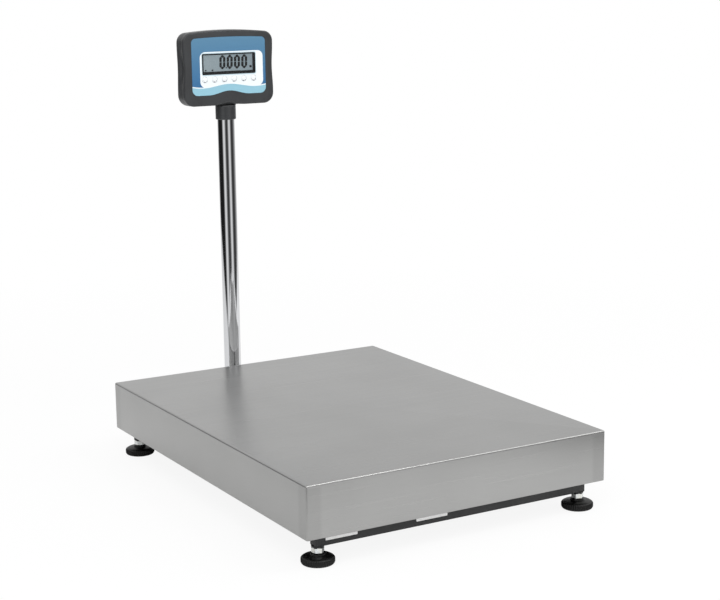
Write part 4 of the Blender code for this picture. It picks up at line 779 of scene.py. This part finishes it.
split = add(tree, "SeparateXYZ", {"Vector": centred})
fade = add(tree, "MapRange", {"Value": split.outputs["Z"], "From Min": -6 * MM, "From Max": 110 * MM})
blue = add(tree, "MixRGB", {"Fac": fade.outputs[0], "Color1": rgb("28679B"), "Color2": rgb("5886A5")})
wave = add(tree, "Math", {0: split.outputs["X"], 1: math.pi / (60 * MM)}, operation="MULTIPLY")
crest = add(tree, "Math", {0: wave.outputs[0]}, operation="COSINE")
edge = add(tree, "Math", {0: crest.outputs[0], 1: 3.5 * MM, 2: 11.5 * MM}, operation="MULTIPLY_ADD")
strip = add(tree, "Math", {0: split.outputs["Z"], 1: edge.outputs[0]}, operation="LESS_THAN")
rim = add(tree, "Math", {0: edge.outputs[0], 1: 2.0 * MM}, operation="ADD")
white_line = add(tree, "Math", {0: split.outputs["Z"], 1: rim.outputs[0]}, operation="LESS_THAN")
window_mid = (0.0, HOUSING_RAISE + 8 * MM)
panel = panel_mask((6 * MM, HOUSING_RAISE - 3 * MM), (71 * MM, 36 * MM), 12 * MM)
colour = printed(blue.outputs[0], panel, "F1F7FA")
colour = printed(colour, white_line.outputs[0], "F1F7FA")
colour = printed(colour, strip.outputs[0], "95C6D8")
frame_mask = panel_mask(window_mid, (61.4 * MM, 23.4 * MM), 4.5 * MM)
colour = printed(colour, frame_mask, "C9DDE6")
tree.links.new(colour, shader.inputs["Base Color"])
roughen(tree, shader, grain(tree, spot, 1.5), 0.008)
FILM_EDGE = 0.15 * MM
overlay_rows = np.array([film(FACE + OVERLAY_SHEET, 0.0), film(FACE + FILM_EDGE, 0.0), film(FACE, FILM_EDGE)])
overlay = loft("overlay_print", overlay_rows, overlay_film, "indicator", ["overlay"])
cut(overlay, [window_cut, *key_cuts])

# Display: liquid crystal behind a clear acrylic window, in a black frame, reading zero.
lcd, tree, shader, spot = material("liquid_crystal_glass", "93A2A9", 0.22)
fade = add(tree, "SeparateXYZ", {"Vector": spot})
tone = add(tree, "MapRange", {"Value": fade.outputs["X"], "From Min": -54 * MM, "From Max": 54 * MM})
mixed = add(tree, "MixRGB", {"Fac": tone.outputs[0], "Color1": rgb("98A6AC"), "Color2": rgb("8C9BA3")})
tree.links.new(mixed.outputs[0], shader.inputs["Base Color"])
roughen(tree, shader, grain(tree, spot, 3), 0.004)
black_frame, tree, shader, spot = material("black_frame_plastic", "0C0E12", 0.4)
roughen(tree, shader, grain(tree, spot, 1.0), 0.02)
segment_ink, tree, shader, spot = material("dark_segments", "08090B", 0.5)
mottle(tree, shader, grain(tree, spot, 4), "060708", "0B0C0E")

display_low, display_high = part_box("display_module")
SCREEN_HALF = (55.5 * MM, 16.8 * MM)
SCREEN_SHIFT = (-0.5 * MM, 1.7 * MM)
window_x, window_z = (window_low.x + window_high.x) / 2, (window_low.z + window_high.z) / 2
screen_mid = (window_x + SCREEN_SHIFT[0], window_z + SCREEN_SHIFT[1])
screen_y = display_low.y
GLASS_HALF = (56 * MM, 19 * MM)
loop = rounded_rectangle(*GLASS_HALF, 0.6 * MM, 3)
rows = np.array([np.c_[loop[:, 0] + window_x, np.full(len(loop), y), loop[:, 1] + window_z]
                 for y in (display_high.y, screen_y)])
loft("display_glass", rows, lcd, "indicator", ["display_module"])
half_w = (window_high.x - window_low.x) / 2 + 0.2 * MM
half_h = (window_high.z - window_low.z) / 2 + 0.2 * MM
outer_loop = rounded_rectangle(half_w, half_h, 2.8 * MM, 5) + (window_x, window_z)
inner_loop = rounded_rectangle(*SCREEN_HALF, 0.8 * MM, 5) + screen_mid
frame_front, frame_back = window_high.y + 0.1 * MM, screen_y - 0.05 * MM
rows = np.array([np.c_[loop[:, 0], np.full(len(loop), y), loop[:, 1]] for y, loop in
                 ((frame_back, inner_loop), (frame_back, outer_loop), (frame_front, outer_loop),
                  (frame_front, inner_loop), (frame_back, inner_loop))])
loft("display_frame", rows, black_frame, "indicator", capped=False)

# Seven-segment figures: each stroke is a flat bar of ink, and each figure slants a little.
DIGIT_W, DIGIT_H, STROKE, PITCH_X, SLANT = 13.6 * MM, 28.4 * MM, 5.3 * MM, 16.5 * MM, 0.03
INK_Y = screen_y - 0.04 * MM
STROKES = [((-1, 1), (1, 1)), ((1, 1), (1, 0)), ((1, 0), (1, -1)), ((-1, -1), (1, -1)),
           ((-1, 0), (-1, -1)), ((-1, 1), (-1, 0))]


def stroke(name, middle, start, end):
    """One stroke of a nought: a six-sided bar, mitred at a corner and blunt at mid height."""
    blunt = [0.06 if place[1] == 0 else 0.5 for place in (start, end)]
    start, end = (middle + np.array(place) * reach for place in (start, end))
    along = (end - start) / np.linalg.norm(end - start)
    side = np.array((-along[1], along[0])) * STROKE / 2
    tip = along * STROKE * 0.04
    neck, far_neck = (along * STROKE * (0.04 + share) for share in blunt)
    loop = np.array([start + tip, start + neck + side, end - far_neck + side, end - tip,
                     end - far_neck - side, start + neck - side])
    loop[:, 0] += SLANT * (loop[:, 1] - screen_mid[1])
    rows = np.array([np.c_[loop[:, 0], np.full(6, y), loop[:, 1]] for y in (screen_y - 0.01 * MM, INK_Y)])
    loft(name, rows, segment_ink, "indicator")


first_x = window_x + 11.5 * MM - 1.5 * PITCH_X
digit_z = window_z + 3.2 * MM
reach = ((DIGIT_W - STROKE) / 2, (DIGIT_H - STROKE) / 2)
for digit in range(4):
    middle = np.array((first_x + digit * PITCH_X, digit_z))
    for number, (start, end) in enumerate(STROKES):
        stroke("digit_%d_stroke_%d" % (digit + 1, number + 1), middle, start, end)
dots = {"decimal_point": (first_x + PITCH_X / 2 + 0.2 * MM, digit_z - reach[1], 1.5 * MM),
        "zero_mark": (window_x - 51 * MM, window_z - 12.4 * MM, 1.8 * MM),
        "steady_mark": (window_x - 36 * MM, window_z - 12.4 * MM, 1.8 * MM),
        "unit_mark": (window_x + 50.5 * MM, window_z - 7.5 * MM, 2.6 * MM)}
for name, (x, z, half) in dots.items():
    loop = rounded_rectangle(half, half * 0.85, half * 0.3, 3)
    rows = np.array([np.c_[loop[:, 0] + x, np.full(len(loop), y), loop[:, 1] + z]
                     for y in (screen_y - 0.01 * MM, INK_Y)])
    loft(name, rows, segment_ink, "indicator")

acrylic, tree, shader, spot = material("clear_acrylic", "2A2E30", 0.04, 0.0, Alpha=0.05, IOR=1.49)
vary(tree, shader.inputs["Roughness"], grain(tree, spot, 20), 0.03, 0.06)
loop = rounded_rectangle(half_w - 0.2 * MM, half_h - 0.2 * MM, 3 * MM, 5)
small = rounded_rectangle(half_w - 0.5 * MM, half_h - 0.5 * MM, 2.7 * MM, 5)
rows = np.array([np.c_[ring[:, 0] + window_x, np.full(len(ring), y), ring[:, 1] + window_z]
                 for y, ring in ((window_high.y, small), (window_high.y - 0.3 * MM, loop),
                                 (window_low.y + 0.3 * MM, loop), (window_low.y, small))])
loft("window_pane", rows, acrylic, "indicator", ["display_window"])

# Keys: domed white caps, each on a plunger over its switch on the board, and under each dome
# a grey crescent of painted shade.
key_white, tree, shader, spot = material("white_key_plastic", "EEF3F5", 0.33)
mottle(tree, shader, grain(tree, spot, 5), "ECF1F4", "F4F7F8")
painted_key_shade, tree, shader, spot = material("painted_dome_shade", "5E6B76", 0.35)
mottle(tree, shader, grain(tree, spot, 3), "596671", "64717C")
# Painted shade: a grey crescent on the lower side of each dome, from 190 to 350 degrees and widest at the
# bottom, stands in for the shade under the raised cap.
ARC_ENDS, ARC_STEPS, ARC_WIDTH = (math.radians(190), math.radians(350)), 22, 0.8 * MM
for number, (low, high) in enumerate(key_boxes):
    centre = ((low.x + high.x) / 2, 0, (low.z + high.z) / 2)
    flange = (high.x - low.x) / 2
    face_y = pivot[1] + FACE
    cap = eased([(0.02 * MM, low.y), (KEY_RADIUS * 0.5, low.y + 0.1 * MM), (KEY_RADIUS, face_y - 0.1 * MM),
                 (KEY_RADIUS, face_y + 2.8 * MM), (flange, face_y + 2.8 * MM), (flange, face_y + 3.8 * MM),
                 (2.5 * MM, face_y + 3.8 * MM), (2.5 * MM, high.y), (0.02 * MM, high.y)],
                [1.5 * MM, 0.8 * MM, 0.1 * MM, 0.1 * MM, 0.1 * MM, 0.2 * MM, 0.2 * MM], 6)
    turned("key_cap_%d" % (number + 1), cap, centre, key_white, "button_%d" % (number + 1),
           ["key_%d" % (number + 1)], sides=48, axis="Y", angle=60)
    arc_angles = np.linspace(*ARC_ENDS, ARC_STEPS)
    width = ARC_WIDTH * np.sin(np.linspace(0, math.pi, ARC_STEPS)) + 0.05 * MM
    loop_angles = np.concatenate((arc_angles, arc_angles[::-1]))
    radii = KEY_RADIUS * 0.80 + np.concatenate((width, -width[::-1]))
    slope = low.y + 0.1 * MM + (radii / KEY_RADIUS - 0.5) / 0.5 * (face_y - 0.1 * MM - low.y - 0.1 * MM)
    shade_arc_rows = np.array([np.c_[radii * np.cos(loop_angles) + centre[0], slope + lift,
                                radii * np.sin(loop_angles) + centre[2]] for lift in (0.04 * MM, -0.06 * MM)])
    loft("key_ring_%d" % (number + 1), shade_arc_rows, painted_key_shade, "button_%d" % (number + 1))

# Inside the housing: circuit board and sealed battery, out of sight behind the shells.
board, tree, shader, spot = material("solder_mask", "1F5A3A", 0.4)
mottle(tree, shader, grain(tree, spot, 2), "1B5235", "26633F")
dress("main_board", board)
casing, tree, shader, spot = material("battery_case", "3B3F45", 0.5)
mottle(tree, shader, grain(tree, spot, 10), "373B41", "40444A")
dress("battery", casing)
